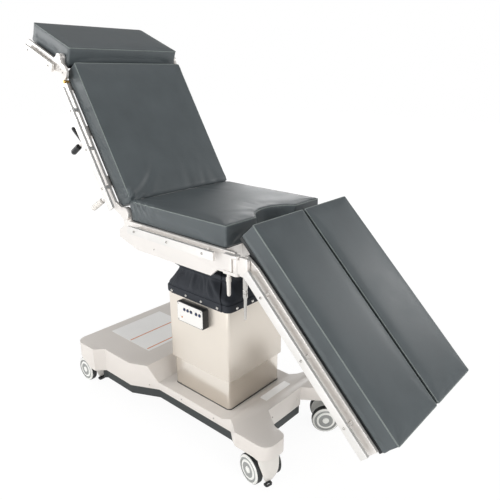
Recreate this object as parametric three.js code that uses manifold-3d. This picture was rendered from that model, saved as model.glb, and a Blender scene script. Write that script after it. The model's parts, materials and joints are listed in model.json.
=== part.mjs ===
// Electric operating table: a wheeled base, a telescopic column and a jointed table top.
// Millimetres, +Z up. X runs from the head end (-) to the foot end (+), Y from the near side (-)
// to the far side (+). Every section is drawn flat about its own hinge and turned to its rest pose.
import * as THREE from "three";
import { mergeVertices } from "three/addons/utils/BufferGeometryUtils.js";
import Module from "manifold-3d";

const wasm = await Module();
wasm.setup();

// Clearances
const seatGap = 0.3;
const runningGap = 0.3;
const cutOverrun = 5;
const weldOverlap = 1;
const weldDistance = 0.0005;

// Facets of round shapes
const roundSides = 24;
const smallRoundSides = 14;
const arcSteps = 5;
const arcPullShare = 0.5523;
const wheelSides = 28;

// Base cover, in plan and in height
const baseHeadEnd = -652;
const baseHeadHalfWidth = 292;
const baseHeadCornerRadius = 44;
const headLobeInnerX = -520;
const headWaistX = -486;
const headWaistHalfWidth = 256;
const headWaistEndX = -312;
const deckStartX = -196;
const deckHalfWidth = 200;
const footLobeStartX = 208;
const footLobeRearX = 290;
const footLobeHalfWidth = 266;
const baseFootEnd = 434;
const footLobeCornerRadius = 42;
const footLobeInnerHalfWidth = 165;
const footLobeInnerRadius = 22;
const footRecessX = 372;
const footRecessHalfWidth = 150;
const footBoxX = 300;
const footBoxHalfWidth = 98;
const deckHeight = 146;
const humpHeight = 216;
const footHeight = 192;
const humpFootX = -198;
const humpTopX = -240;
const footRampStartX = 164;
const footRampEndX = 262;
const coverBottom = 112;
const coverWall = 3;
const footLobeBottom = 135;
const footArchStartX = 256;
const footArchEndX = 288;
const archStartX = -552;
const archEndHeight = 164;

// Base frame under the cover
const skirtBottom = 72;
const skirtHeadX = -500;
const skirtFootX = 214;
const chassisTop = 142.4;
const chassisBottom = 134;
const chassisHeadX = -642;
const frameGap = 1.5;
const tubPocketTop = 120;
const tubPocketHeadX = -490;
const tubPocketFootX = -80;
const tubPocketHalfWidth = 184;

// Column
const lowerCoverHalfLength = 152;
const lowerCoverHalfWidth = 147;
const lowerCoverTop = 443;
const upperCoverHalfLength = 162;
const upperCoverHalfWidth = 155;
const upperCoverBottom = 274;
const upperCoverTop = 578;
const columnWall = 2;
const columnCornerRadius = 16;
const cylinderRadius = 55;
const cylinderTop = 443;
const cylinderFloor = 8;
const ramRadius = 40;
const ramBottom = 278;
const headPlateTop = 578;
const headPlateThickness = 12;

// Tilt gimbal on the ram
const tiltHeight = 643;
const tiltEarInner = 62;
const tiltEarThickness = 16;
const tiltEarRadius = 22;
const tiltPinRadius = 11;
const crossHalfSize = 34;
const crossHalfHeight = 18;
const carriageHalfLength = 118;
const carriageHalfWidth = 110;
const carriageThickness = 12;
const carriageBottom = 679;
const earPocketInner = 50;
const earPocketOuter = 90;
const earPocketHalfLength = 27;
const earPocketTop = 696;
const pedestalHalfLength = 90;
const pedestalHalfWidth = 80;
const pedestalTop = 748;

// Boot
const hemBottom = 555;
const hemHeight = 25;
const bootThickness = 2.5;
const bootFit = 1;
const bootTop = 678.7;
const bootNeckHeight = 645;
const bootNeckHalfLength = 134;
const bootNeckHalfWidth = 127;
const bootMouthHalfLength = 89.5;
const bootMouthHalfWidth = 85.5;
const bootWaistHeight = 612;
const bootWaistHalfLength = 153;
const bootWaistHalfWidth = 146;
const bootShoulderRise = 12;
const bootShoulderHeight = hemBottom + hemHeight + bootShoulderRise;
const bootCollarHalfLength = 148;
const bootCollarHalfWidth = 140;
const bootSideSteps = 8;
const bootCornerSteps = 4;
const bootFoldSpacing = 4;
const bootFoldDepth = 3;

// Control panel
const panelLeft = -79;
const panelRight = 61;
const panelBottom = 463;
const panelTop = 543;
const panelDepth = 25;
const panelCornerRadius = 8;
const panelFaceThickness = 2;
const panelFaceMargin = 3;
const buttonRadius = 5.5;
const buttonHeight = 4;
const buttonStem = 8;
const buttonPocket = 12;
const buttonRowHeight = 518;
const buttonPlaces = [-37, -19, -1, 26, 44];

// Sections of the table top
const padThickness = 65;
const padHalfWidth = 250;
const padEdgeRadius = 12;
const padCrown = 4;
const padDrawIn = 2;
const padRows = 8;
const deckThickness = 12;
const deckInset = 4;
const deckTop = 845;
const beamInner = 252;
const beamThickness = 10;
const tubeHeight = 26;
const tubeWidth = 40;
const pinRadius = 9;

// Accessory rails
const railInner = 280;
const railThickness = 10;
const railHeight = 28;
const railDrop = 80;
const backRailDrop = 63;
const headRailDrop = 75;
const spacerRadius = 7;
const railPieceShare = 0.4;
const spacerSink = 1;

// Seat section
const seatHeadX = -225;
const seatFootX = 248;
const cutOutMiddleX = 316;
const cutOutRadius = 124;
const cutOutSides = 48;
const seatPlateTop = 837;
const seatPlateBottom = 736;
const seatPlateHeadX = -288;
const seatPlateHeadTop = 794;
const seatPlateHeadBottom = 766;
const seatPlateShoulderX = -226;
const seatPlateHeelX = -186;
const seatPlateNotchX = 190;
const seatPlateNotchTopX = 221;
const seatPlateNotchRise = 27;
const seatPlateNotchHeight = seatPlateBottom + seatPlateNotchRise;
const seatPlateFootX = 296;
const seatTubePlaces = [-150, 150];
const seatBeamInner = 60;
const seatBeamWidth = 36;
const seatBeamHalfLength = 176;
const seatBasePlate = 10;
const seatBaseHalfLength = 140;
const seatBaseHalfWidth = 104;
const seatRailHeadX = -200;
const seatRailFootX = 231;
const seatSpacerPlaces = [-161, 14, 183];

// Clevis block at the foot end of the seat frame, and its clamp handle
const clevisHeadX = 266;
const clevisFootX = 298;
const clevisReach = 4;
const clevisOuter = 278;
const clevisTongue = 10;
const swingX = 312;
const swingY = 270;
const swingHubRadius = 12;
const swingPinRadius = 5;
const clampHandleX = 278;
const clampHandleRadius = 8.5;
const clampHandleLength = 76;
const clampNeckRadius = 5;
const clampNeckLength = 12;

// Leg sections
const legHingeX = 342;
const legHingeDrop = 94;
const legHingeHeight = deckTop + padThickness - legHingeDrop;
const legAngle = 44.7;
const legPadStart = -76;
const legPadLength = 722;
const legPadInner = 3.5;
const legBeamTop = 27;
const legBeamBottom = -24;
const legBeamFootX = 632;
const legLugRadius = 20;
const legInnerBeamY = 16;
const legInnerBeamWidth = 10;
const legInnerBeamStart = -58;
const legTubePlaces = [70, 330, 590];
const legRailStart = 28;
const legRailEnd = 628;
const legSpacerPlaces = [113, 323, 534];
const bracketInner = 264;
const bracketThickness = 12;
const bracketStartX = 328;
const bracketEndX = 360;
const bracketRise = 18;
const bracketFall = 42;
const bracketBottom = legHingeHeight - bracketFall;
const bracketTop = legHingeHeight + bracketRise;
const clevisBottom = bracketBottom - clevisReach;
const clevisTop = bracketTop;
const leverX = 346;
const leverUpperRadius = 7.5;
const leverUpperLength = 38;
const leverCollarRadius = 8;
const leverCollarLength = 28;
const leverRodRadius = 3.5;
const leverLength = 140;

// Back section
const backHingeX = -250;
const backHingeHeight = 860;
const backAngle = 59;
const backPadGap = 35;
const backPadLength = 540;
const backBeamTop = -25;
const backBeamBottom = -76;
const backLugRadius = 24;
const backHeelX = -84;
const backTubePlaces = [-140, -340, -525];
const backRailStart = -33;
const backRailEnd = -512;
const backSpacerPlaces = [-115, -269, -422];
const backPinRadius = 10;
const seatLugInner = 240;
const seatLugRadius = 22;
const seatLugRootTop = 831;
const seatLugRootBottom = 794;

// Levers and grips at the near beam of the back section
const gripRadius = 11;
const gripStemRadius = 5;
const gripBossRadius = 9;
const gripBossDrop = 20;
const gripStemInsert = 16;
const blackGripX = -320;
const blackGripTop = -115;
const blackGripLength = 54;
const whiteGripX = -93;
const whiteGripTop = -108;
const whiteGripLength = 79;
const backLeverX = -305;
const backLeverZ = -62;
const backLeverLength = 72;
const backLeverDrop = 16;
const backLeverRootWidth = 5;
const backLeverTipWidth = 14;
const backLeverThickness = 8;
const backLeverPinRadius = 3;
const backLeverPinDepth = 6;

// Head section
const headHingeGap = 44;
const headHingeDrop = 45;
const headAngle = -37.2;
const headPadOverlap = 29;
const headPadLength = 251;
const headArmInner = 264;
const headArmThickness = 10;
const headLugRadius = 13;
const headPinRadius = 6;
const headLobeX = 38;
const headLobeDrop = 41;
const headLobeRadius = 27;
const headArmTop = -14;
const headArmBottom = -62;
const headArmEnd = -214;
const headTubePlaces = [-125, -190];
const headRailStart = -8;
const headRailEnd = -206;
const headSpacerPlaces = [-32, -182];
const backHeadLugRadius = 13;
const backHeadHeelX = -560;

// Casters
const wheelRadius = 54.5;
const wheelOuter = 55;
const wheelInner = 28;
const wheelDiscRadius = 51;
const wheelEdge = 3.5;
const wheelDome = 2;
const axleRadius = 8;
const casterTrail = 26;
const casterTop = 133.7;
const casterCapBottom = 115;
const casterCapHalfWidth = 47;
const casterCapRear = -12;
const casterCapFront = 24;
const hoodShoulder = 98;
const hoodShoulderFront = 27;
const hoodShoulderRear = 12;
const hoodShoulderHalfWidth = 43;
const hoodChest = 74;
const hoodChestFront = 33;
const hoodChestRear = 27.5;
const hoodMiddleFront = 35;
const hoodMiddleRear = 30;
const hoodMiddleHalfWidth = 33;
const hoodWaist = 38;
const hoodWaistFront = 33;
const hoodWaistRear = 28;
const hoodWaistHalfWidth = 28;
const hoodBottom = 13;
const hoodBottomFront = 25;
const hoodBottomRear = 14;
const hoodBottomHalfWidth = 13;
const webHalfWidth = 24;
const webRear = -44;
const webBottom = 40;
const pedalRear = 28.3;
const pedalFront = 45;
const pedalMiddleY = -14;
const pedalHalfWidth = 14;
const pedalThickness = 9;
const pedalTop = 22;
const pedalCornerRadius = 7;
const pedalSlotRear = 33;
const pedalSlotFront = 40;
const pedalSlotHalfWidth = 8;
const footCasterSetBack = 58;
const footCasterInset = 61;
const headCasterSetBack = 29;
const headCasterInset = 83;
const footCasterX = baseFootEnd - footCasterSetBack;
const footCasterY = footLobeHalfWidth - footCasterInset;
const headCasterX = baseHeadEnd + headCasterSetBack;
const headCasterY = baseHeadHalfWidth - headCasterInset;

// Looks: colour, roughness, metalness
const steelLook = [0xd9d3ca, 0.35, 0.9];
const darkFrameLook = [0x3a4040, 0.6, 0.2];
const innerSteelLook = [0x9a9c9e, 0.4, 0.9];
const bootLook = [0x23272d, 0.6, 0];
const padLook = [0x5d6466, 0.55, 0];
const deckLook = [0x1c1f22, 0.5, 0];
const blackPlasticLook = [0x1b1d1f, 0.45, 0];
const whitePlasticLook = [0xe9e7e2, 0.45, 0];
const panelFaceLook = [0xf2f2ee, 0.5, 0];
const buttonLook = [0x3b4a63, 0.5, 0];
const railLook = [0xe4ded6, 0.25, 1];

const nearAndFar = [["near", -1], ["far", 1]];

// A closed geometry as a solid, with shared corners and without triangles that have no area
function solidOf(geometry) {
  const bare = new THREE.BufferGeometry();
  bare.setAttribute("position", geometry.attributes.position.clone());
  if (geometry.index) {
    bare.setIndex(geometry.index.clone());
  }
  const welded = mergeVertices(bare, weldDistance);
  const kept = [];
  const corners = welded.index.array;
  for (let i = 0; i < corners.length; i += 3) {
    const [a, b, c] = [corners[i], corners[i + 1], corners[i + 2]];
    if (a !== b && b !== c && c !== a) {
      kept.push(a, b, c);
    }
  }
  return new wasm.Manifold(new wasm.Mesh({
    numProp: 3,
    vertProperties: new Float32Array(welded.attributes.position.array),
    triVerts: new Uint32Array(kept),
  }));
}

function geometryOf(solid) {
  const mesh = solid.getMesh();
  const geometry = new THREE.BufferGeometry();
  geometry.setAttribute("position", new THREE.BufferAttribute(mesh.vertProperties, 3));
  geometry.setIndex(new THREE.BufferAttribute(mesh.triVerts, 1));
  geometry.computeVertexNormals();
  return geometry;
}

function joined(...geometries) {
  return geometryOf(geometries.map(solidOf).reduce((whole, next) => whole.add(next)));
}

function cut(geometry, ...tools) {
  return geometryOf(tools.map(solidOf).reduce((whole, tool) => whole.subtract(tool), solidOf(geometry)));
}

function common(geometry, other) {
  return geometryOf(solidOf(geometry).intersect(solidOf(other)));
}

function block(x0, x1, y0, y1, z0, z1) {
  const geometry = new THREE.BoxGeometry(Math.abs(x1 - x0), Math.abs(y1 - y0), Math.abs(z1 - z0));
  return geometry.translate((x0 + x1) / 2, (y0 + y1) / 2, (z0 + z1) / 2);
}

// Round bars along one axis, from one place to another
function barX(x0, x1, y, z, radius, sides = smallRoundSides) {
  const geometry = new THREE.CylinderGeometry(radius, radius, Math.abs(x1 - x0), sides);
  return geometry.rotateZ(Math.PI / 2).translate((x0 + x1) / 2, y, z);
}

function barY(x, y0, y1, z, radius, sides = smallRoundSides) {
  const geometry = new THREE.CylinderGeometry(radius, radius, Math.abs(y1 - y0), sides);
  return geometry.translate(x, (y0 + y1) / 2, z);
}

function barZ(x, y, z0, z1, radius, sides = smallRoundSides) {
  const geometry = new THREE.CylinderGeometry(radius, radius, Math.abs(z1 - z0), sides);
  return geometry.rotateX(Math.PI / 2).translate(x, y, (z0 + z1) / 2);
}

// An outline through corners [a, b, radius], with each corner rounded by its radius
function outlineOf(corners) {
  const shape = new THREE.Shape();
  corners.forEach(([a, b, radius = 0], i) => {
    const here = new THREE.Vector2(a, b);
    const before = new THREE.Vector2(...corners.at(i - 1));
    const after = new THREE.Vector2(...corners[(i + 1) % corners.length]);
    const start = here.clone().add(before.sub(here).setLength(radius));
    const end = here.clone().add(after.sub(here).setLength(radius));
    if (i === 0) {
      shape.moveTo(start.x, start.y);
    } else {
      shape.lineTo(start.x, start.y);
    }
    if (radius > 0) {
      const pullIn = start.clone().lerp(here, arcPullShare);
      const pullOut = end.clone().lerp(here, arcPullShare);
      shape.bezierCurveTo(pullIn.x, pullIn.y, pullOut.x, pullOut.y, end.x, end.y);
    }
  });
  shape.closePath();
  return shape;
}

function extruded(shape, depth) {
  return new THREE.ExtrudeGeometry(shape, { depth, bevelEnabled: false, curveSegments: arcSteps });
}

// Outlines in plan (x, y), from the side (x, z) and from the end (y, z), given their thickness
function planSolid(corners, z0, z1) {
  return extruded(outlineOf(corners), z1 - z0).translate(0, 0, z0);
}

function sideSolid(corners, y0, y1) {
  const upright = extruded(outlineOf(corners), Math.abs(y1 - y0)).rotateX(Math.PI / 2);
  return upright.translate(0, Math.max(y0, y1), 0);
}

function endSolid(corners, x0, x1) {
  const turn = new THREE.Matrix4().makeBasis(
    new THREE.Vector3(0, 1, 0),
    new THREE.Vector3(0, 0, 1),
    new THREE.Vector3(1, 0, 0),
  );
  return extruded(outlineOf(corners), x1 - x0).applyMatrix4(turn).translate(x0, 0, 0);
}

function insetCorners(corners, distance) {
  const count = corners.length;
  const area = corners.reduce((sum, [a, b], i) => {
    const [c, d] = corners[(i + 1) % count];
    return sum + a * d - c * b;
  }, 0);
  const inward = Math.sign(area) * distance;
  const shifted = corners.map(([a, b], i) => {
    const [c, d] = corners[(i + 1) % count];
    const along = new THREE.Vector2(c - a, d - b).normalize();
    return { start: new THREE.Vector2(a - along.y * inward, b + along.x * inward), along };
  });
  return corners.map(([, , radius = 0], i) => {
    const before = shifted.at(i - 1);
    const after = shifted[i];
    const gap = after.start.clone().sub(before.start);
    const reach = gap.cross(after.along) / before.along.cross(after.along);
    const place = before.start.clone().addScaledVector(before.along, reach);
    return [place.x, place.y, Math.max(radius - distance, 0)];
  });
}

// Rows of a pad: one row at the edge, one where the rounding starts and even rows between
function rowPlace(value, half, rows, radius) {
  const row = Math.round((value / half + 1) * rows / 2);
  if (row === 0 || row === rows) {
    return value;
  }
  return THREE.MathUtils.lerp(-half + radius, half - radius, (row - 1) / (rows - 2));
}

// An upholstered pad with rounded edges, drawn-in sides and a crowned top
function padSolid(x0, x1, y0, y1, z0, z1) {
  const half = new THREE.Vector3(x1 - x0, y1 - y0, z1 - z0).divideScalar(2);
  const rows = [padRows + padRows / 2, padRows, padRows / 2];
  const geometry = new THREE.BoxGeometry(x1 - x0, y1 - y0, z1 - z0, ...rows);
  const places = geometry.attributes.position;
  const core = half.clone().subScalar(padEdgeRadius);
  const point = new THREE.Vector3();
  const inside = new THREE.Vector3();
  for (let i = 0; i < places.count; i += 1) {
    point.fromBufferAttribute(places, i);
    point.set(
      rowPlace(point.x, half.x, rows[0], padEdgeRadius),
      rowPlace(point.y, half.y, rows[1], padEdgeRadius),
      rowPlace(point.z, half.z, rows[2], padEdgeRadius),
    );
    inside.copy(point).clamp(core.clone().negate(), core);
    point.sub(inside).setLength(padEdgeRadius).add(inside);
    const bulge = (1 - (point.x / half.x) ** 2) * (1 - (point.y / half.y) ** 2);
    const waist = padDrawIn * Math.max(1 - (point.z / half.z) ** 2, 0);
    if (point.z > core.z) {
      point.z += padCrown * bulge - padCrown;
    }
    if (Math.abs(point.x) > core.x) {
      point.x -= Math.sign(point.x) * waist;
    }
    if (Math.abs(point.y) > core.y) {
      point.y -= Math.sign(point.y) * waist;
    }
    places.setXYZ(i, point.x, point.y, point.z);
  }
  return geometry.translate((x0 + x1) / 2, (y0 + y1) / 2, (z0 + z1) / 2);
}

// A closed skin through rings of points that runs up outside and down inside
function ringSkin(rings) {
  const count = rings[0].length;
  const places = rings.flat().flatMap((point) => point.toArray());
  const corners = [];
  rings.forEach((ring, i) => {
    const next = (i + 1) % rings.length;
    ring.forEach((point, j) => {
      const k = (j + 1) % count;
      const [a, b, c, d] = [i * count + j, i * count + k, next * count + k, next * count + j];
      corners.push(a, b, c, a, c, d);
    });
  });
  const geometry = new THREE.BufferGeometry();
  geometry.setAttribute("position", new THREE.Float32BufferAttribute(places, 3));
  geometry.setIndex(corners);
  return geometry;
}

function roundedRectangle(halfLength, halfWidth, radius) {
  return [
    [halfLength, halfWidth, radius],
    [-halfLength, halfWidth, radius],
    [-halfLength, -halfWidth, radius],
    [halfLength, -halfWidth, radius],
  ];
}

function squareTube(halfLength, halfWidth, radius, wall, z0, z1) {
  const outside = planSolid(roundedRectangle(halfLength, halfWidth, radius), z0, z1);
  const bore = planSolid(
    roundedRectangle(halfLength - wall, halfWidth - wall, radius - wall),
    z0 - cutOverrun,
    z1 + cutOverrun,
  );
  return cut(outside, bore);
}

function addPiece(group, name, geometry, [color, roughness, metalness]) {
  const mesh = new THREE.Mesh(geometry, new THREE.MeshStandardMaterial({ color, roughness, metalness }));
  mesh.name = name;
  group.add(mesh);
  return mesh;
}

function addGroup(parent, x, y, z, turn = 0) {
  const group = new THREE.Group();
  group.position.set(x, y, z);
  group.rotation.y = THREE.MathUtils.degToRad(turn);
  parent.add(group);
  return group;
}

const table = new THREE.Group();

// Base cover: the plan outline and the side outline share one solid, hollow from below
const baseHalfPlan = [
  [baseHeadEnd, baseHeadHalfWidth, baseHeadCornerRadius],
  [baseHeadEnd, -baseHeadHalfWidth, baseHeadCornerRadius],
  [headLobeInnerX, -baseHeadHalfWidth],
  [headWaistX, -headWaistHalfWidth],
  [headWaistEndX, -headWaistHalfWidth],
  [deckStartX, -deckHalfWidth],
  [footLobeStartX, -deckHalfWidth],
  [footLobeRearX, -footLobeHalfWidth],
  [baseFootEnd, -footLobeHalfWidth, footLobeCornerRadius],
  [baseFootEnd, -footLobeInnerHalfWidth, footLobeInnerRadius],
  [footRecessX, -footRecessHalfWidth],
  [footBoxX, -footBoxHalfWidth],
];
const baseFarPlan = baseHalfPlan.slice(2).map(([a, b, radius]) => [a, -b, radius]).reverse();
const basePlan = [...baseHalfPlan, ...baseFarPlan];

function baseSide(bottom, drop) {
  return [
    [baseHeadEnd - cutOverrun, bottom],
    [baseFootEnd + cutOverrun, bottom],
    [baseFootEnd + cutOverrun, footHeight - drop],
    [footRampEndX + drop / 2, footHeight - drop],
    [footRampStartX + drop / 2, deckHeight - drop],
    [humpFootX - drop, deckHeight - drop],
    [humpTopX - drop, humpHeight - drop],
    [baseHeadEnd - cutOverrun, humpHeight - drop],
  ];
}

function baseShape(inset, bottom, drop) {
  const plan = planSolid(insetCorners(basePlan, inset), bottom, humpHeight);
  const reach = baseHeadHalfWidth + cutOverrun;
  return common(plan, sideSolid(baseSide(bottom, drop), -reach, reach));
}

const wideReach = baseHeadHalfWidth + cutOverrun;
const footLobeClear = [-1, 1].map((side) => sideSolid(
  [
    [footArchStartX, coverBottom],
    [footArchStartX, coverBottom - cutOverrun],
    [baseFootEnd + cutOverrun, coverBottom - cutOverrun],
    [baseFootEnd + cutOverrun, footLobeBottom],
    [footArchEndX, footLobeBottom],
  ],
  side * footBoxHalfWidth,
  side * wideReach,
));
const headArch = sideSolid(
  [
    [archStartX, coverBottom],
    [archStartX, coverBottom - cutOverrun],
    [baseHeadEnd - cutOverrun, coverBottom - cutOverrun],
    [baseHeadEnd - cutOverrun, archEndHeight],
  ],
  -wideReach,
  wideReach,
);
const coverBore = barZ(0, 0, chassisBottom, humpHeight, cylinderRadius + frameGap, roundSides);
const baseCover = cut(
  baseShape(0, coverBottom, 0),
  baseShape(coverWall, coverBottom - cutOverrun, coverWall),
  ...footLobeClear,
  headArch,
  coverBore,
);
addPiece(table, "base_cover", baseCover, steelLook);

// Base frame: a deep tub that shows as a skirt under the cover, and the plate over the casters
const framePlan = insetCorners(basePlan, coverWall + frameGap);
const tubFootCut = [-1, 1].map((side) => block(
  skirtFootX,
  baseFootEnd,
  side * footBoxHalfWidth,
  side * wideReach,
  skirtBottom - cutOverrun,
  chassisBottom,
));
const tubHeadCut = block(
  baseHeadEnd - cutOverrun,
  skirtHeadX,
  -wideReach,
  wideReach,
  skirtBottom - cutOverrun,
  chassisBottom,
);
const tubToeCut = block(
  footBoxX,
  baseFootEnd + cutOverrun,
  -wideReach,
  wideReach,
  skirtBottom - cutOverrun,
  chassisBottom,
);
const tubPocket = block(
  tubPocketHeadX,
  tubPocketFootX,
  -tubPocketHalfWidth,
  tubPocketHalfWidth,
  skirtBottom - cutOverrun,
  tubPocketTop,
);
const plateHeadCut = block(
  baseHeadEnd - cutOverrun,
  chassisHeadX,
  -wideReach,
  wideReach,
  skirtBottom - cutOverrun,
  humpHeight,
);
const baseFrame = cut(
  planSolid(framePlan, skirtBottom, chassisTop),
  ...tubFootCut,
  tubHeadCut,
  tubToeCut,
  plateHeadCut,
  tubPocket,
);
addPiece(table, "base_frame", baseFrame, darkFrameLook);

// Column: cylinder and ram inside two telescoping covers
const cylinderBottom = chassisTop + seatGap;
const liftCylinder = cut(
  barZ(0, 0, cylinderBottom, cylinderTop, cylinderRadius, roundSides),
  barZ(0, 0, cylinderBottom + cylinderFloor, cylinderTop + cutOverrun, ramRadius + runningGap, roundSides),
);
addPiece(table, "lift_cylinder", liftCylinder, innerSteelLook);
addPiece(
  table,
  "column_lower_cover",
  squareTube(
    lowerCoverHalfLength,
    lowerCoverHalfWidth,
    columnCornerRadius,
    columnWall,
    deckHeight + seatGap,
    lowerCoverTop,
  ),
  steelLook,
);
addPiece(
  table,
  "column_upper_cover",
  squareTube(
    upperCoverHalfLength,
    upperCoverHalfWidth,
    columnCornerRadius,
    columnWall,
    upperCoverBottom,
    upperCoverTop,
  ),
  steelLook,
);

// Ram with its head plate and the two ears of the head-to-foot tilt
const headPlateBottom = headPlateTop - headPlateThickness;
const headPlateInset = columnWall + seatGap;
const tiltEars = [-1, 1].flatMap((side) => [
  block(
    -tiltEarRadius,
    tiltEarRadius,
    side * tiltEarInner,
    side * (tiltEarInner + tiltEarThickness),
    headPlateBottom,
    tiltHeight,
  ),
  barY(
    0,
    side * tiltEarInner,
    side * (tiltEarInner + tiltEarThickness),
    tiltHeight,
    tiltEarRadius,
    roundSides,
  ),
]);
const earReach = tiltEarInner + tiltEarThickness + cutOverrun;
const liftRam = cut(
  joined(
    barZ(0, 0, ramBottom, headPlateTop, ramRadius, roundSides),
    planSolid(
      roundedRectangle(
        upperCoverHalfLength - headPlateInset,
        upperCoverHalfWidth - headPlateInset,
        columnCornerRadius - columnWall,
      ),
      headPlateBottom,
      headPlateTop,
    ),
    ...tiltEars,
  ),
  barY(0, -earReach, earReach, tiltHeight, tiltPinRadius + runningGap, roundSides),
);
addPiece(table, "lift_ram", liftRam, innerSteelLook);

// Gimbal cross: its Y pins turn in the ram's ears, its X pins carry the carriage
const pinReach = tiltEarInner + tiltEarThickness;
const gimbalCross = joined(
  block(-crossHalfSize, crossHalfSize, -crossHalfSize, crossHalfSize, tiltHeight - crossHalfHeight,
    tiltHeight + crossHalfHeight),
  barY(0, -pinReach, pinReach, tiltHeight, tiltPinRadius, roundSides),
  barX(-pinReach, pinReach, 0, tiltHeight, tiltPinRadius, roundSides),
);
addPiece(table, "tilt_cross", gimbalCross, innerSteelLook);

const carriageEars = [-1, 1].flatMap((side) => [
  block(
    side * tiltEarInner,
    side * (tiltEarInner + tiltEarThickness),
    -tiltEarRadius,
    tiltEarRadius,
    tiltHeight,
    carriageBottom + carriageThickness,
  ),
  barX(
    side * tiltEarInner,
    side * (tiltEarInner + tiltEarThickness),
    0,
    tiltHeight,
    tiltEarRadius,
    roundSides,
  ),
]);
const carriage = cut(
  joined(
    planSolid(
      roundedRectangle(carriageHalfLength, carriageHalfWidth, columnCornerRadius),
      carriageBottom,
      carriageBottom + carriageThickness,
    ),
    block(-pedestalHalfLength, pedestalHalfLength, -pedestalHalfWidth, pedestalHalfWidth,
      carriageBottom, pedestalTop),
    ...carriageEars,
  ),
  barX(-earReach, earReach, 0, tiltHeight, tiltPinRadius + runningGap, roundSides),
  ...[-1, 1].map((side) => block(
    -earPocketHalfLength,
    earPocketHalfLength,
    side * earPocketInner,
    side * earPocketOuter,
    tiltHeight,
    earPocketTop,
  )),
);
addPiece(table, "tilt_carriage", carriage, blackPlasticLook);

// Boot: a hem round the upper cover, folds drawn in to a neck and a collar under the carriage
function bootRing([halfLength, halfWidth, radius, z, foldShare], inward) {
  const corners = [[1, 1], [-1, 1], [-1, -1], [1, -1]];
  const bend = radius - inward;
  const points = [];
  corners.forEach(([signX, signY], i) => {
    const middleX = signX * (halfLength - radius);
    const middleY = signY * (halfWidth - radius);
    for (let step = 0; step <= bootCornerSteps; step += 1) {
      const angle = (i + step / bootCornerSteps) * Math.PI / 2;
      points.push(new THREE.Vector3(middleX + bend * Math.cos(angle), middleY + bend * Math.sin(angle), z));
    }
    const [nextX, nextY] = corners[(i + 1) % corners.length];
    const next = new THREE.Vector3(
      nextX * (halfLength - radius) + bend * Math.cos((i + 1) * Math.PI / 2),
      nextY * (halfWidth - radius) + bend * Math.sin((i + 1) * Math.PI / 2),
      z,
    );
    const last = points.at(-1);
    for (let step = 1; step < bootSideSteps; step += 1) {
      const point = last.clone().lerp(next, step / bootSideSteps);
      const fold = foldShare * bootFoldDepth * Math.cos(step / bootFoldSpacing * Math.PI * 2);
      point.setLength(point.length() + fold * point.clone().setZ(0).length() / point.length());
      points.push(point.setZ(z));
    }
  });
  return points;
}

const hemHalfLength = upperCoverHalfLength + bootFit + bootThickness;
const hemHalfWidth = upperCoverHalfWidth + bootFit + bootThickness;
const hemRadius = columnCornerRadius + bootFit + bootThickness;
const hemTop = hemBottom + hemHeight;
const bootHem = [
  [hemHalfLength, hemHalfWidth, hemRadius, hemBottom, 0],
  [hemHalfLength, hemHalfWidth, hemRadius, hemTop, 0],
];
const bootFoldStations = [
  [hemHalfLength - bootThickness, hemHalfWidth - bootThickness, hemRadius, bootShoulderHeight, 1],
  [bootWaistHalfLength, bootWaistHalfWidth, hemRadius, bootWaistHeight, 1],
  [bootNeckHalfLength, bootNeckHalfWidth, hemRadius, bootNeckHeight, 1],
];
const bootCollar = [
  [bootCollarHalfLength, bootCollarHalfWidth, hemRadius, bootTop - bootThickness, 0],
  [bootCollarHalfLength, bootCollarHalfWidth, hemRadius, bootTop, 0],
];
const bootMouth = [bootMouthHalfLength, bootMouthHalfWidth, hemRadius, bootTop, 0];
const bootStations = [...bootHem, ...bootFoldStations];
const bootOutside = [...bootStations, ...bootCollar, bootMouth].map((ring) => bootRing(ring, 0));
const bootInside = bootStations.reverse().map((ring) => bootRing(ring, bootThickness));
addPiece(table, "column_boot", ringSkin([...bootOutside, ...bootInside]), bootLook);

// Control panel on the near side of the upper cover
const panelBack = -upperCoverHalfWidth - seatGap;
const panelFront = panelBack - panelDepth;
const panelFaceBack = panelFront - seatGap;
const panelFaceFront = panelFaceBack - panelFaceThickness;

function panelOutline(margin) {
  const [left, right] = [panelLeft + margin, panelRight - margin];
  const [bottom, top] = [panelBottom + margin, panelTop - margin];
  return [
    [left, bottom, panelCornerRadius],
    [right, bottom, panelCornerRadius],
    [right, top, panelCornerRadius],
    [left, top, panelCornerRadius],
  ];
}

const buttonHoles = buttonPlaces.map((x) => barY(
  x,
  panelFaceFront - cutOverrun,
  panelFront + buttonPocket,
  buttonRowHeight,
  buttonRadius + runningGap,
));
addPiece(
  table,
  "panel_housing",
  cut(sideSolid(panelOutline(0), panelFront, panelBack), ...buttonHoles),
  blackPlasticLook,
);
addPiece(
  table,
  "panel_face",
  cut(sideSolid(panelOutline(panelFaceMargin), panelFaceFront, panelFaceBack), ...buttonHoles),
  panelFaceLook,
);
buttonPlaces.forEach((x, i) => {
  const button = barY(
    x,
    panelFaceFront - buttonHeight,
    panelFaceFront + buttonStem,
    buttonRowHeight,
    buttonRadius,
  );
  addPiece(table, `panel_button_${i + 1}`, button, buttonLook);
});

// Accessory rail on spacers, beside one beam of a section
function railSolid(side, x0, x1, top, spacerPlaces, spacerInner) {
  const spacers = spacerPlaces.map((x) => barY(
    x,
    side * spacerInner,
    side * (railInner + railThickness * railPieceShare),
    top - spacerSink - spacerRadius,
    spacerRadius,
  ));
  const bar = block(
    Math.min(x0, x1),
    Math.max(x0, x1),
    side * railInner,
    side * (railInner + railThickness),
    top - railHeight,
    top,
  );
  return joined(bar, ...spacers);
}

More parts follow.
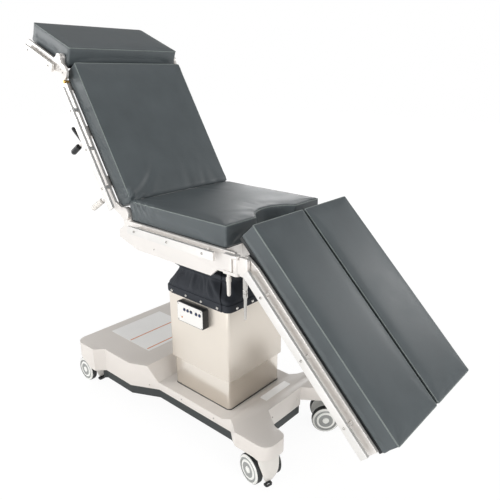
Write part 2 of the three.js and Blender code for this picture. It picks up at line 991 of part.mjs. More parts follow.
// Seat section
const seatTop = deckTop + padThickness;
const seatCushion = cut(
  padSolid(seatHeadX, seatFootX, -padHalfWidth, padHalfWidth, deckTop + seatGap, seatTop),
  barZ(cutOutMiddleX, 0, deckTop - cutOverrun, seatTop + cutOverrun, cutOutRadius, cutOutSides),
);
addPiece(table, "seat_cushion", seatCushion, padLook);

const seatDeckHalfWidth = padHalfWidth - deckInset;
const seatDeck = cut(
  block(seatHeadX + deckInset, seatFootX - deckInset, -seatDeckHalfWidth, seatDeckHalfWidth,
    deckTop - deckThickness, deckTop),
  barZ(
    cutOutMiddleX,
    0,
    deckTop - deckThickness - cutOverrun,
    deckTop + cutOverrun,
    cutOutRadius + deckInset,
    cutOutSides,
  ),
);
addPiece(table, "seat_deck", seatDeck, deckLook);

const beamOuter = beamInner + beamThickness;
const seatTubeTop = deckTop - deckThickness - seatGap;
const seatTubeBottom = seatTubeTop - tubeHeight;
const seatPlateCorners = [
  [seatPlateHeadX, seatPlateHeadTop],
  [seatPlateHeadX, seatPlateHeadBottom],
  [seatPlateHeelX, seatPlateBottom],
  [seatPlateNotchX, seatPlateBottom],
  [seatPlateNotchTopX, seatPlateNotchHeight],
  [seatPlateFootX, seatPlateNotchHeight],
  [seatPlateFootX, seatPlateTop],
  [seatPlateShoulderX, seatPlateTop],
];
const seatFrameParts = [
  ...seatTubePlaces.map((x) => block(
    x - tubeWidth / 2,
    x + tubeWidth / 2,
    -beamInner,
    beamInner,
    seatTubeBottom,
    seatTubeTop,
  )),
  block(-seatBaseHalfLength, seatBaseHalfLength, -seatBaseHalfWidth, seatBaseHalfWidth,
    pedestalTop + seatGap, pedestalTop + seatGap + seatBasePlate),
];
const seatFrameHoles = [];
nearAndFar.forEach(([, side]) => {
  const seatPlate = sideSolid(seatPlateCorners, side * beamInner, side * beamOuter);
  const underBeam = block(
    -seatBeamHalfLength,
    seatBeamHalfLength,
    side * seatBeamInner,
    side * (seatBeamInner + seatBeamWidth),
    pedestalTop + seatGap,
    seatTubeTop,
  );
  const lug = joined(
    block(
      backHingeX - seatLugRadius,
      backHingeX + seatLugRadius,
      side * seatLugInner,
      side * (seatLugInner + beamThickness),
      seatLugRootBottom,
      backHingeHeight,
    ),
    barY(
      backHingeX,
      side * seatLugInner,
      side * (seatLugInner + beamThickness),
      backHingeHeight,
      seatLugRadius,
      roundSides,
    ),
    block(
      backHingeX - seatLugRadius,
      seatTubePlaces[0],
      side * seatLugInner,
      side * beamInner,
      seatLugRootBottom,
      seatLugRootTop,
    ),
  );
  const clevis = joined(
    block(clevisHeadX, clevisFootX, side * beamInner, side * clevisOuter, clevisBottom, clevisTop),
    ...[clevisBottom, clevisTop - clevisTongue].flatMap((z) => [
      block(
        clevisHeadX,
        swingX,
        side * (swingY - swingHubRadius),
        side * (swingY + swingHubRadius),
        z,
        z + clevisTongue,
      ),
      barZ(swingX, side * swingY, z, z + clevisTongue, swingHubRadius, roundSides),
    ]),
  );
  seatFrameParts.push(seatPlate, underBeam, lug, clevis);
  seatFrameHoles.push(
    barY(
      backHingeX,
      side * (seatLugInner - cutOverrun),
      side * (beamInner + cutOverrun),
      backHingeHeight,
      backPinRadius + runningGap,
      roundSides,
    ),
    barZ(
      swingX,
      side * swingY,
      clevisBottom - cutOverrun,
      clevisTop + cutOverrun,
      swingPinRadius + runningGap,
    ),
  );
});
addPiece(table, "seat_frame", cut(joined(...seatFrameParts), ...seatFrameHoles), steelLook);

nearAndFar.forEach(([name, side]) => {
  const rail = railSolid(
    side,
    seatRailHeadX,
    seatRailFootX,
    seatTop - railDrop,
    seatSpacerPlaces,
    beamOuter + seatGap,
  );
  addPiece(table, `seat_rail_${name}`, rail, railLook);
  const handleTop = clevisBottom - seatGap;
  const handle = joined(
    barZ(clampHandleX, side * swingY, handleTop - clampNeckLength, handleTop, clampNeckRadius),
    barZ(
      clampHandleX,
      side * swingY,
      handleTop - clampHandleLength,
      handleTop - clampNeckLength,
      clampHandleRadius,
    ),
  );
  addPiece(table, `seat_clamp_handle_${name}`, handle, whitePlasticLook);
});

// Leg sections: a bracket that swings on the seat clevis and a leg that hinges on the bracket
nearAndFar.forEach(([name, side]) => {
  const hubBottom = clevisBottom + clevisTongue + seatGap;
  const hubTop = clevisTop - clevisTongue - seatGap;
  const bracketOuter = bracketInner + bracketThickness;
  const bracket = joined(
    barZ(swingX, side * swingY, hubBottom, hubTop, swingHubRadius, roundSides),
    barZ(swingX, side * swingY, clevisBottom, clevisTop, swingPinRadius),
    block(swingX, bracketStartX + cutOverrun, side * bracketInner, side * bracketOuter, hubBottom, hubTop),
    sideSolid(
      [
        [bracketStartX, bracketBottom, swingPinRadius],
        [bracketEndX, bracketBottom, swingPinRadius],
        [bracketEndX, bracketTop, swingPinRadius],
        [bracketStartX, bracketTop, swingPinRadius],
      ],
      side * bracketInner,
      side * bracketOuter,
    ),
    barY(
      legHingeX,
      side * (beamInner - seatGap),
      side * (bracketInner + cutOverrun),
      legHingeHeight,
      pinRadius,
      roundSides,
    ),
  );
  addPiece(table, `leg_bracket_${name}`, bracket, steelLook);

  const leverTop = bracketBottom - seatGap;
  const lever = joined(
    barZ(leverX, side * swingY, leverTop - leverUpperLength, leverTop, leverUpperRadius),
    barZ(
      leverX,
      side * swingY,
      leverTop - leverUpperLength - leverCollarLength,
      leverTop - leverUpperLength,
      leverCollarRadius,
    ),
    barZ(leverX, side * swingY, leverTop - leverLength, leverTop, leverRodRadius),
  );
  addPiece(table, `leg_lever_${name}`, lever, innerSteelLook);

  const leg = addGroup(table, legHingeX, 0, legHingeHeight, legAngle);
  const padBottom = deckTop - legHingeHeight;
  const legPadEnd = legPadStart + legPadLength;
  const [inner, outer] = [side * legPadInner, side * padHalfWidth];
  const cushion = padSolid(
    legPadStart,
    legPadEnd,
    Math.min(inner, outer),
    Math.max(inner, outer),
    padBottom + seatGap,
    padBottom + padThickness,
  );
  addPiece(leg, `leg_cushion_${name}`, cushion, padLook);
  const deck = block(
    legPadStart + deckInset,
    legPadEnd - deckInset,
    side * (legPadInner + deckInset),
    side * (padHalfWidth - deckInset),
    padBottom - deckThickness,
    padBottom,
  );
  addPiece(leg, `leg_deck_${name}`, deck, deckLook);
  const tubeTop = padBottom - deckThickness - seatGap;
  const tubes = legTubePlaces.map((x) => block(
    x - tubeWidth / 2,
    x + tubeWidth / 2,
    side * legInnerBeamY,
    side * beamInner,
    tubeTop - tubeHeight,
    tubeTop,
  ));
  const innerBeam = block(
    legInnerBeamStart,
    legBeamFootX,
    side * legInnerBeamY,
    side * (legInnerBeamY + legInnerBeamWidth),
    tubeTop - tubeHeight,
    tubeTop,
  );
  const beam = sideSolid(
    [
      [0, -legLugRadius],
      [legLugRadius, legBeamBottom],
      [legBeamFootX, legBeamBottom],
      [legBeamFootX, legBeamTop],
      [legLugRadius + legLugRadius, legBeamTop],
      [0, legLugRadius],
    ],
    side * beamInner,
    side * beamOuter,
  );
  const lug = barY(0, side * beamInner, side * beamOuter, 0, legLugRadius, roundSides);
  const hinge = barY(
    0,
    side * (beamInner - cutOverrun),
    side * (beamOuter + cutOverrun),
    0,
    pinRadius + runningGap,
    roundSides,
  );
  addPiece(leg, `leg_frame_${name}`, cut(joined(beam, lug, innerBeam, ...tubes), hinge), steelLook);
  const rail = railSolid(
    side,
    legRailStart,
    legRailEnd,
    padBottom + padThickness - railDrop,
    legSpacerPlaces,
    beamOuter + seatGap,
  );
  addPiece(leg, `leg_rail_${name}`, rail, railLook);
});

// Back section
const back = addGroup(table, backHingeX, 0, backHingeHeight, backAngle);
const backPadTop = seatTop - backHingeHeight;
const backPadBottom = backPadTop - padThickness;
const backPadEnd = -backPadGap - backPadLength;
const headHingeX = backPadEnd - headHingeGap;
const headHingeZ = backPadTop - headHingeDrop;
addPiece(
  back,
  "back_cushion",
  padSolid(backPadEnd, -backPadGap, -padHalfWidth, padHalfWidth, backPadBottom + seatGap, backPadTop),
  padLook,
);
const backDeckHalfWidth = padHalfWidth - deckInset;
addPiece(
  back,
  "back_deck",
  block(
    backPadEnd + deckInset,
    -backPadGap - deckInset,
    -backDeckHalfWidth,
    backDeckHalfWidth,
    backPadBottom - deckThickness,
    backPadBottom,
  ),
  deckLook,
);
const backTubeTop = backPadBottom - deckThickness - seatGap;
const backFrameParts = backTubePlaces.map((x) => block(
  x - tubeWidth / 2,
  x + tubeWidth / 2,
  -beamInner,
  beamInner,
  backTubeTop - tubeHeight,
  backTubeTop,
));
const backFrameHoles = [];
nearAndFar.forEach(([, side]) => {
  backFrameParts.push(
    sideSolid(
      [
        [0, -backLugRadius],
        [0, backLugRadius],
        [-backLugRadius, 0],
        [-backPadGap - backLugRadius, backBeamTop],
        [backHeadHeelX, backBeamTop],
        [headHingeX, headHingeZ + backHeadLugRadius],
        [headHingeX - backHeadLugRadius, headHingeZ],
        [headHingeX, headHingeZ - backHeadLugRadius],
        [backHeadHeelX, backBeamBottom],
        [backHeelX, backBeamBottom],
      ],
      side * beamInner,
      side * beamOuter,
    ),
    barY(0, side * beamInner, side * beamOuter, 0, backLugRadius, roundSides),
    barY(headHingeX, side * beamInner, side * beamOuter, headHingeZ, backHeadLugRadius, roundSides),
    barY(0, side * (seatLugInner - seatGap), side * beamOuter, 0, backPinRadius, roundSides),
    barY(
      headHingeX,
      side * beamInner,
      side * (headArmInner + headArmThickness + seatGap),
      headHingeZ,
      headPinRadius,
      roundSides,
    ),
  );
});

// Bosses under the near beam that carry the grips, and the hole of the black lever's pin
const gripY = -beamInner - beamThickness / 2;
const gripBossBottom = backBeamBottom - gripBossDrop;
const gripHoleTop = gripBossBottom + gripStemInsert;
[blackGripX, whiteGripX].forEach((x) => {
  backFrameParts.push(barZ(x, gripY, gripBossBottom, backBeamBottom + weldOverlap, gripBossRadius));
  const holeRadius = gripStemRadius + runningGap;
  backFrameHoles.push(barZ(x, gripY, gripBossBottom - cutOverrun, gripHoleTop, holeRadius));
});
backFrameHoles.push(barY(
  backLeverX,
  -beamOuter - cutOverrun,
  -beamOuter + backLeverPinDepth + runningGap,
  backLeverZ,
  backLeverPinRadius + runningGap,
));
addPiece(back, "back_frame", cut(joined(...backFrameParts), ...backFrameHoles), steelLook);

nearAndFar.forEach(([name, side]) => {
  const rail = railSolid(
    side,
    backRailStart,
    backRailEnd,
    backPadTop - backRailDrop,
    backSpacerPlaces,
    beamOuter + seatGap,
  );
  addPiece(back, `back_rail_${name}`, rail, railLook);
});

function gripSolid(x, top, length) {
  return joined(
    barZ(x, gripY, top - length, gripHoleTop - seatGap, gripStemRadius),
    barZ(x, gripY, top - length, top, gripRadius),
  );
}

addPiece(back, "back_black_grip", gripSolid(blackGripX, blackGripTop, blackGripLength), blackPlasticLook);
addPiece(back, "back_white_grip", gripSolid(whiteGripX, whiteGripTop, whiteGripLength), whitePlasticLook);
const leverInner = -beamOuter - seatGap;
const leverOuter = leverInner - backLeverThickness;
const leverTipX = backLeverX - backLeverLength;
const leverTipZ = backLeverZ - backLeverDrop;
const backLever = joined(
  sideSolid(
    [
      [backLeverX, backLeverZ + backLeverRootWidth / 2],
      [leverTipX, leverTipZ + backLeverTipWidth / 2, backLeverRootWidth],
      [leverTipX, leverTipZ - backLeverTipWidth / 2, backLeverRootWidth],
      [backLeverX, backLeverZ - backLeverRootWidth / 2],
    ],
    leverOuter,
    leverInner,
  ),
  barY(backLeverX, leverOuter, leverInner, backLeverZ, backLeverRootWidth),
  barY(backLeverX, leverOuter, -beamOuter + backLeverPinDepth, backLeverZ, backLeverPinRadius),
);
addPiece(back, "back_lever", backLever, blackPlasticLook);

// Head section
const head = addGroup(back, headHingeX, 0, headHingeZ, headAngle);
const headPadBottom = headHingeDrop - padThickness;
const headPadEnd = headPadOverlap - headPadLength;
addPiece(
  head,
  "head_cushion",
  padSolid(headPadEnd, headPadOverlap, -padHalfWidth, padHalfWidth, headPadBottom + seatGap, headHingeDrop),
  padLook,
);
const headDeckHalfWidth = padHalfWidth - deckInset;
addPiece(
  head,
  "head_deck",
  block(
    headPadEnd + deckInset,
    headPadOverlap - deckInset,
    -headDeckHalfWidth,
    headDeckHalfWidth,
    headPadBottom - deckThickness,
    headPadBottom,
  ),
  deckLook,
);
const headArmOuter = headArmInner + headArmThickness;
const headTubeTop = headPadBottom - deckThickness - seatGap;
const headFrameParts = headTubePlaces.map((x) => block(
  x - tubeWidth / 2,
  x + tubeWidth / 2,
  -headArmInner,
  headArmInner,
  headTubeTop - tubeHeight,
  headTubeTop,
));
const headFrameHoles = [];
nearAndFar.forEach(([, side]) => {
  headFrameParts.push(
    sideSolid(
      [
        [headLugRadius, 0],
        [0, headLugRadius],
        [-headLugRadius, 0],
        [-headLobeRadius, headArmTop],
        [headArmEnd, headArmTop],
        [headArmEnd, headArmBottom, cutOverrun],
        [headLobeX, -headLobeDrop - headLobeRadius],
        [headLobeX + headLobeRadius, -headLobeDrop],
        [headLobeX, -headLobeDrop + headLobeRadius],
        [headLobeRadius, headArmTop],
      ],
      side * headArmInner,
      side * headArmOuter,
    ),
    barY(0, side * headArmInner, side * headArmOuter, 0, headLugRadius, roundSides),
    barY(headLobeX, side * headArmInner, side * headArmOuter, -headLobeDrop, headLobeRadius, roundSides),
  );
  headFrameHoles.push(barY(
    0,
    side * (headArmInner - cutOverrun),
    side * (headArmOuter + cutOverrun),
    0,
    headPinRadius + runningGap,
    roundSides,
  ));
});
addPiece(head, "head_frame", cut(joined(...headFrameParts), ...headFrameHoles), steelLook);
nearAndFar.forEach(([name, side]) => {
  const rail = railSolid(
    side,
    headRailStart,
    headRailEnd,
    headHingeDrop - headRailDrop,
    headSpacerPlaces,
    headArmOuter + seatGap,
  );
  addPiece(head, `head_rail_${name}`, rail, railLook);
});

// Casters: twin wheels on one axle behind a hood, with a brake pedal
function wheelPairSolid() {
  const profile = [
    [0, -wheelOuter - wheelDome],
    [wheelDiscRadius, -wheelOuter],
    [wheelRadius - wheelEdge, -wheelOuter],
    [wheelRadius, -wheelOuter + wheelEdge],
    [wheelRadius, -wheelInner - wheelEdge],
    [wheelRadius - wheelEdge, -wheelInner],
    [axleRadius, -wheelInner],
    [axleRadius, wheelInner],
    [wheelRadius - wheelEdge, wheelInner],
    [wheelRadius, wheelInner + wheelEdge],
    [wheelRadius, wheelOuter - wheelEdge],
    [wheelRadius - wheelEdge, wheelOuter],
    [wheelDiscRadius, wheelOuter],
    [0, wheelOuter + wheelDome],
  ];
  const points = profile.map(([radius, y]) => new THREE.Vector2(radius, y));
  const geometry = geometryOf(solidOf(new THREE.LatheGeometry(points, wheelSides)));
  return geometry.translate(-casterTrail, 0, wheelRadius);
}

function casterHousingSolid() {
  const cap = block(
    casterCapRear,
    casterCapFront,
    -casterCapHalfWidth,
    casterCapHalfWidth,
    casterCapBottom,
    casterTop,
  );
  const hoodSide = sideSolid(
    [
      [casterCapFront, casterTop],
      [hoodBottomRear, casterTop],
      [hoodShoulderRear, hoodShoulder],
      [hoodChestRear, hoodChest],
      [hoodMiddleRear, wheelRadius],
      [hoodWaistRear, hoodWaist],
      [hoodBottomRear, hoodBottom],
      [hoodBottomFront, hoodBottom],
      [hoodWaistFront, hoodWaist],
      [hoodMiddleFront, wheelRadius],
      [hoodChestFront, hoodChest],
      [hoodShoulderFront, hoodShoulder],
    ],
    -casterCapHalfWidth,
    casterCapHalfWidth,
  );
  const halfHoodFront = [
    [casterCapHalfWidth, casterTop],
    [hoodShoulderHalfWidth, hoodShoulder],
    [hoodMiddleHalfWidth, wheelRadius],
    [hoodWaistHalfWidth, hoodWaist],
    [hoodBottomHalfWidth, hoodBottom],
  ];
  const hoodFront = endSolid(
    [...halfHoodFront, ...halfHoodFront.map(([a, b]) => [-a, b]).reverse()],
    0,
    hoodMiddleFront + weldOverlap,
  );
  const web = sideSolid(
    [
      [casterCapRear, casterTop],
      [webRear, wheelRadius + axleRadius + axleRadius],
      [webRear, webBottom],
      [hoodWaistRear + weldOverlap, webBottom],
      [hoodWaistRear + weldOverlap, wheelRadius],
      [hoodShoulderRear + weldOverlap, hoodShoulder],
      [hoodShoulderRear + weldOverlap, casterTop],
    ],
    -webHalfWidth,
    webHalfWidth,
  );
  const bore = barY(
    -casterTrail,
    -webHalfWidth - cutOverrun,
    webHalfWidth + cutOverrun,
    wheelRadius,
    axleRadius + runningGap,
    roundSides,
  );
  return cut(joined(cap, common(hoodSide, hoodFront), web), bore);
}

function pedalSolid() {
  return cut(
    planSolid(
      [
        [pedalRear, pedalMiddleY - pedalHalfWidth],
        [pedalFront, pedalMiddleY - pedalHalfWidth, pedalCornerRadius],
        [pedalFront, pedalMiddleY + pedalHalfWidth, pedalCornerRadius],
        [pedalRear, pedalMiddleY + pedalHalfWidth],
      ],
      pedalTop - pedalThickness,
      pedalTop,
    ),
    block(
      pedalSlotRear,
      pedalSlotFront,
      pedalMiddleY - pedalSlotHalfWidth,
      pedalMiddleY + pedalSlotHalfWidth,
      pedalTop - pedalThickness - cutOverrun,
      pedalTop + cutOverrun,
    ),
  );
}

const casterPlaces = [
  ["foot_near", footCasterX, -footCasterY, -12.5],
  ["foot_far", footCasterX, footCasterY, 40],
  ["head_near", headCasterX, -headCasterY, -1],
  ["head_far", headCasterX, headCasterY, -12],
];
casterPlaces.forEach(([name, x, y, turn]) => {
  const caster = new THREE.Group();
  caster.position.set(x, y, 0);
  caster.rotation.z = THREE.MathUtils.degToRad(turn);
  table.add(caster);
  addPiece(caster, `caster_housing_${name}`, casterHousingSolid(), whitePlasticLook);
  addPiece(caster, `caster_wheels_${name}`, wheelPairSolid(), whitePlasticLook);
  addPiece(caster, `brake_pedal_${name}`, pedalSolid(), blackPlasticLook);
});

// The origin lies under the middle of the whole table
const extent = new THREE.Box3().setFromObject(table);
const middle = extent.getCenter(new THREE.Vector3());
const wholeTable = new THREE.Group();
table.position.set(-middle.x, -middle.y, -extent.min.z);
wholeTable.add(table);
wholeTable.updateMatrixWorld(true);

export default wholeTable;
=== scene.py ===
"""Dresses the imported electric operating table: pads, boot, coated steel, rails, casters and fasteners."""
import json
import math
from collections import namedtuple

import bmesh
import bpy
from mathutils import Matrix, Vector, noise
from mathutils.bvhtree import BVHTree

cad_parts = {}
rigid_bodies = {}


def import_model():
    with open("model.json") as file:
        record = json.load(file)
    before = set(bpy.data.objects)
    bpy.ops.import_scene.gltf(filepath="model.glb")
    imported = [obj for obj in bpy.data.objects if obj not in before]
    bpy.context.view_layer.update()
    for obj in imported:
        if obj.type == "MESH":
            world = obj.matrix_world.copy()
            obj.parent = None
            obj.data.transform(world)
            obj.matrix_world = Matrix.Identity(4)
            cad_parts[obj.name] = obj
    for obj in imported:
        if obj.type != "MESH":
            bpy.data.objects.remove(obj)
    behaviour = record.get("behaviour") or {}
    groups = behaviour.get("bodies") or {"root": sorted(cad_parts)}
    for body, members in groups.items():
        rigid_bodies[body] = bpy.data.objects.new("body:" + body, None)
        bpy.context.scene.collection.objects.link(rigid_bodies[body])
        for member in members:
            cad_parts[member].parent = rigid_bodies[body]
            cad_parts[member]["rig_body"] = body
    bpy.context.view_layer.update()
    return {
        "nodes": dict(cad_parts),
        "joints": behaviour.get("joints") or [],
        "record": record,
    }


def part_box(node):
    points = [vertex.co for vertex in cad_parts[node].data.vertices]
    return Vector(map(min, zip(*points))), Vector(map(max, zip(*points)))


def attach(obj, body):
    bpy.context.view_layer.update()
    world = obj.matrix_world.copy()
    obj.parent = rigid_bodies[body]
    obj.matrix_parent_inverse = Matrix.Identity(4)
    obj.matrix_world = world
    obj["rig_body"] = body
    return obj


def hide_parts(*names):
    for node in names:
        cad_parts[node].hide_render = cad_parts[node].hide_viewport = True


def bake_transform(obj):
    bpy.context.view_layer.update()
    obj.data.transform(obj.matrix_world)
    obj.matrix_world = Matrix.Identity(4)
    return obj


bl_info = {
    "name": "Electric Operating Table",
    "version": (1, 0, 0),
    "blender": (4, 5, 0),
    "location": "3D View > Sidebar > Operating Table",
    "description": "Builds the looks of an electric operating table around its packed model",
    "category": "Object",
}

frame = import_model()
JOINTS = {joint["name"]: joint for joint in frame["joints"]}
MM = 0.001
SIDES = (("near", -1), ("far", 1))
CASTERS = ("foot_near", "foot_far", "head_near", "head_far")
# How far from the table's middle, in metres, a line starts that looks for the surface of a side.
OUTSIDE = 0.33


def joint_point(name):
    """Where a joint turns, in metres."""
    return Vector(JOINTS[name]["pos_m"])


def section_place(joint, degrees):
    """The place of a table section: its hinge line, and how far it is turned from level."""
    pivot = joint_point(joint)
    return Matrix.Translation((pivot.x, 0, pivot.z)) @ Matrix.Rotation(math.radians(degrees), 4, "Y")


BACK_TURN = 59.0
HEAD_TURN = 21.8
LEG_TURN = 44.7
COLUMN = Matrix.Translation((joint_point("top_tilt_pitch").x, 0, 0))
BACK = section_place("back_hinge", BACK_TURN)
HEAD = section_place("head_hinge", HEAD_TURN)
LEG = section_place("leg_hinge_near", LEG_TURN)


def linear(colour):
    """An sRGB hex colour as linear red, green and blue."""
    shares = [int(colour[i:i + 2], 16) / 255 for i in (1, 3, 5)]
    return tuple(s / 12.92 if s <= 0.04045 else ((s + 0.055) / 1.055) ** 2.4 for s in shares)


def colour_property(name, description, colour):
    """One colour that a user may change."""
    return bpy.props.FloatVectorProperty(
        name=name, description=description, subtype="COLOR", size=3, min=0, max=1, default=linear(colour))


def length_property(name, description, millimetres):
    """One length that a user may change, in metres."""
    return bpy.props.FloatProperty(
        name=name, description=description, unit="LENGTH", subtype="DISTANCE", min=0,
        default=millimetres * MM)


class TableSizes(bpy.types.PropertyGroup):
    """Sizes of the table's surfaces and small hardware."""
    cover_edge: length_property("Cover edge", "Rounding of the base cover's edges", 3.5)
    plate_edge: length_property("Plate edge", "Rounding of the frames' and rails' edges", 1.0)
    pad_voxel: length_property("Pad mesh", "Spacing of the points of a pad's cover", 6.5)
    pad_swell: length_property("Pad swell", "How far a pad's cover may move from its foam", 2.2)
    seam: length_property("Seam", "Radius of the sewn edge of a pad", 1.9)
    screw: length_property("Screw", "Diameter of the rails' screw heads", 9.0)
    small_screw: length_property("Small screw", "Diameter of the covers' screw heads", 6.0)
    stud: length_property("Snap stud", "Diameter of the boot's snap studs", 12.0)


class TableColours(bpy.types.PropertyGroup):
    """Colours of the table's finishes."""
    pad: colour_property("Pad leatherette", "Coated cloth of the pads", "#50575a")
    boot: colour_property("Boot leatherette", "Coated cloth of the boot", "#23282e")
    coat: colour_property("Powder coat", "Paint of the covers and frames", "#e4ded8")
    column: colour_property("Column steel", "Satin steel of the column's covers", "#ebe3d8")
    skirt: colour_property("Skirt paint", "Paint of the base frame", "#2c3131")
    button: colour_property("Button", "Moulded push buttons", "#27375f")


# ---------------------------------------------------------------- materials

def add(tree, kind, inputs=None, **settings):
    """Adds a node with its settings, and sets or links its inputs by name or number."""
    node = tree.nodes.new(kind)
    for name, value in settings.items():
        setattr(node, name, value)
    for name, value in (inputs or {}).items():
        if isinstance(value, bpy.types.NodeSocket):
            tree.links.new(value, node.inputs[name])
        else:
            node.inputs[name].default_value = value
    return node


def shade(colour, share):
    """A colour made darker or paler by a share of its own light."""
    return tuple(min(1.0, part * share) for part in colour)


# Each finish: its sRGB colour or the name of the user's colour, the share of it in the darkest and the palest
# clouds, roughness and its spread, the pattern and its size in millimetres, the bump's height in millimetres,
# and the clouds' size in millimetres.
Finish = namedtuple(
    "Finish", "colour ends rough spread grain size bump cloud metal coat", defaults=(0.0, 0.0))
FINISHES = {
    # Polyurethane-coated knit on the pads: soft wide highlights and a fine pebbled grain.
    # The real grain is near 0.7 mm and is drawn at 1.5 mm so that it shows.
    "coated_leatherette": Finish("pad", (0.92, 1.08), 0.42, 0.08, "pebble", 1.5, 0.10, 95),
    # The same cloth in black on the boot, thinner and shinier in its folds.
    "boot_leatherette": Finish("boot", (0.75, 1.35), 0.40, 0.12, "pebble", 1.3, 0.08, 40),
    # Sewn edge of the pads: a real piped seam, but its cloth is painted paler than the pad's as a painted
    # highlight, a thin pale line of light along the rim.
    "leatherette_seam": Finish("#7d8583", (0.92, 1.05), 0.38, 0.06, "pebble", 1.5, 0.05, 30),
    # Powder-coated sheet steel: satin paint with a faint orange-peel swell near 2.5 mm.
    "powder_coated_steel": Finish("coat", (0.965, 1.0), 0.36, 0.06, "peel", 2.6, 0.012, 160, coat=0.15),
    # Satin lacquered steel of the section frames: pale and neutral, it takes up the room's white.
    "lacquered_steel": Finish("#efebe7", (0.96, 1.0), 0.34, 0.06, "peel", 2.2, 0.006, 140, metal=0.6),
    # Satin stainless sheet of the upper cover: warm, and it mirrors the room as wide soft patches.
    "satin_stainless": Finish("column", (0.95, 1.0), 0.36, 0.05, "peel", 2.6, 0.004, 220, metal=0.75),
    # Polished stainless sheet of the lower cover: it mirrors the base's deck and the floor.
    "polished_stainless": Finish("#ece5db", (0.95, 1.0), 0.23, 0.04, "peel", 2.6, 0.002, 220, metal=0.9),
    # Painted cast and folded steel of the base frame: dull dark grey with a coarse texture.
    "textured_paint": Finish("skirt", (0.80, 1.15), 0.55, 0.10, "peel", 1.8, 0.05, 60),
    # Brushed stainless steel of the rails: bright, with fine scratches along the length.
    # Real brush lines are near 0.1 mm and are drawn at 0.8 mm.
    "brushed_stainless": Finish("#efedea", (0.90, 1.0), 0.40, 0.06, "brushed", 0.8, 0.004, 120, metal=0.85),
    # Turned and nickel-plated steel of levers, screws and studs: smooth, with small bright highlights.
    "nickel_plate": Finish("#cfcdc9", (0.92, 1.0), 0.22, 0.06, "peel", 1.0, 0.004, 25, metal=1.0),
    # Turned brass of the stops at the head end of the back's rails: yellow and bright.
    "turned_brass": Finish("#c9a25e", (0.9, 1.0), 0.28, 0.08, "peel", 1.0, 0.004, 20, metal=1.0),
    # Laminated deck board under the pads: black and dull, with a fine paper texture.
    "laminated_board": Finish("#25282a", (0.8, 1.2), 0.50, 0.08, "peel", 1.2, 0.02, 70),
    # Moulded ABS of the panel box and grips: spark-eroded texture, low sheen.
    "moulded_abs_black": Finish("#1f2123", (0.85, 1.2), 0.42, 0.08, "peel", 0.9, 0.015, 40),
    # Moulded nylon of the hoods and clamp handles: milky, slightly waxy.
    "moulded_nylon_white": Finish("#ece8e2", (0.95, 1.0), 0.38, 0.06, "peel", 1.5, 0.008, 50, coat=0.1),
    # Moulded polypropylene of the wheel discs: pale grey, slightly glossy.
    "moulded_polypropylene": Finish("#f6f6f2", (0.94, 1.0), 0.33, 0.07, "peel", 1.2, 0.008, 30),
    # Polyurethane rubber of the treads and of the column's gasket: dark and dull, with a trace of floor dust.
    "polyurethane_tread": Finish("#2b2d2d", (0.8, 1.5), 0.60, 0.12, "peel", 1.6, 0.03, 18),
    # Printed polyester overlay of the panel's face: flat, even and satin.
    "polyester_overlay": Finish("#f1efec", (0.98, 1.0), 0.40, 0.04, "peel", 0.8, 0.003, 60),
    # Glossy white vinyl of the blank plates on the base: brighter than the paint round it.
    "vinyl_label": Finish("#fdfcfa", (0.97, 1.0), 0.30, 0.05, "peel", 1.5, 0.003, 90, coat=0.2),
    # Recessed rings of the wheel discs: the same plastic painted darker grey, as painted shade in the
    # grooves.
    "polypropylene_recess": Finish("#9c9e9c", (0.9, 1.0), 0.5, 0.06, "peel", 1.2, 0.008, 20),
    # The thin printed lines on the blank plate: orange ink, a little less shiny than the vinyl.
    "printed_line": Finish("#d98a52", (0.92, 1.05), 0.45, 0.04, "peel", 0.8, 0.003, 30),
    # Silicone push buttons: saturated and slightly glossy.
    "silicone_button": Finish("button", (0.9, 1.1), 0.35, 0.05, "peel", 0.8, 0.006, 8, coat=0.2),
    # Tinted acrylic of the panel's lamp: amber and very glossy.
    "tinted_acrylic": Finish("#d8914a", (0.95, 1.05), 0.15, 0.03, "peel", 1.0, 0.002, 6, coat=0.5),
}


def finish_colour(finish):
    """The linear colour of a finish: its own, or one of the user's colours."""
    colour = FINISHES[finish].colour
    if colour.startswith("#"):
        return linear(colour)
    return tuple(getattr(bpy.context.scene.table_colours, colour))


COAT_ROUGHNESS = 0.25
# A brush line is this many times longer than wide.
BRUSH_STRETCH = 60
# The part of a noise's values that is stretched over a finish's range.
CLOUD_RANGE = (0.3, 0.7)


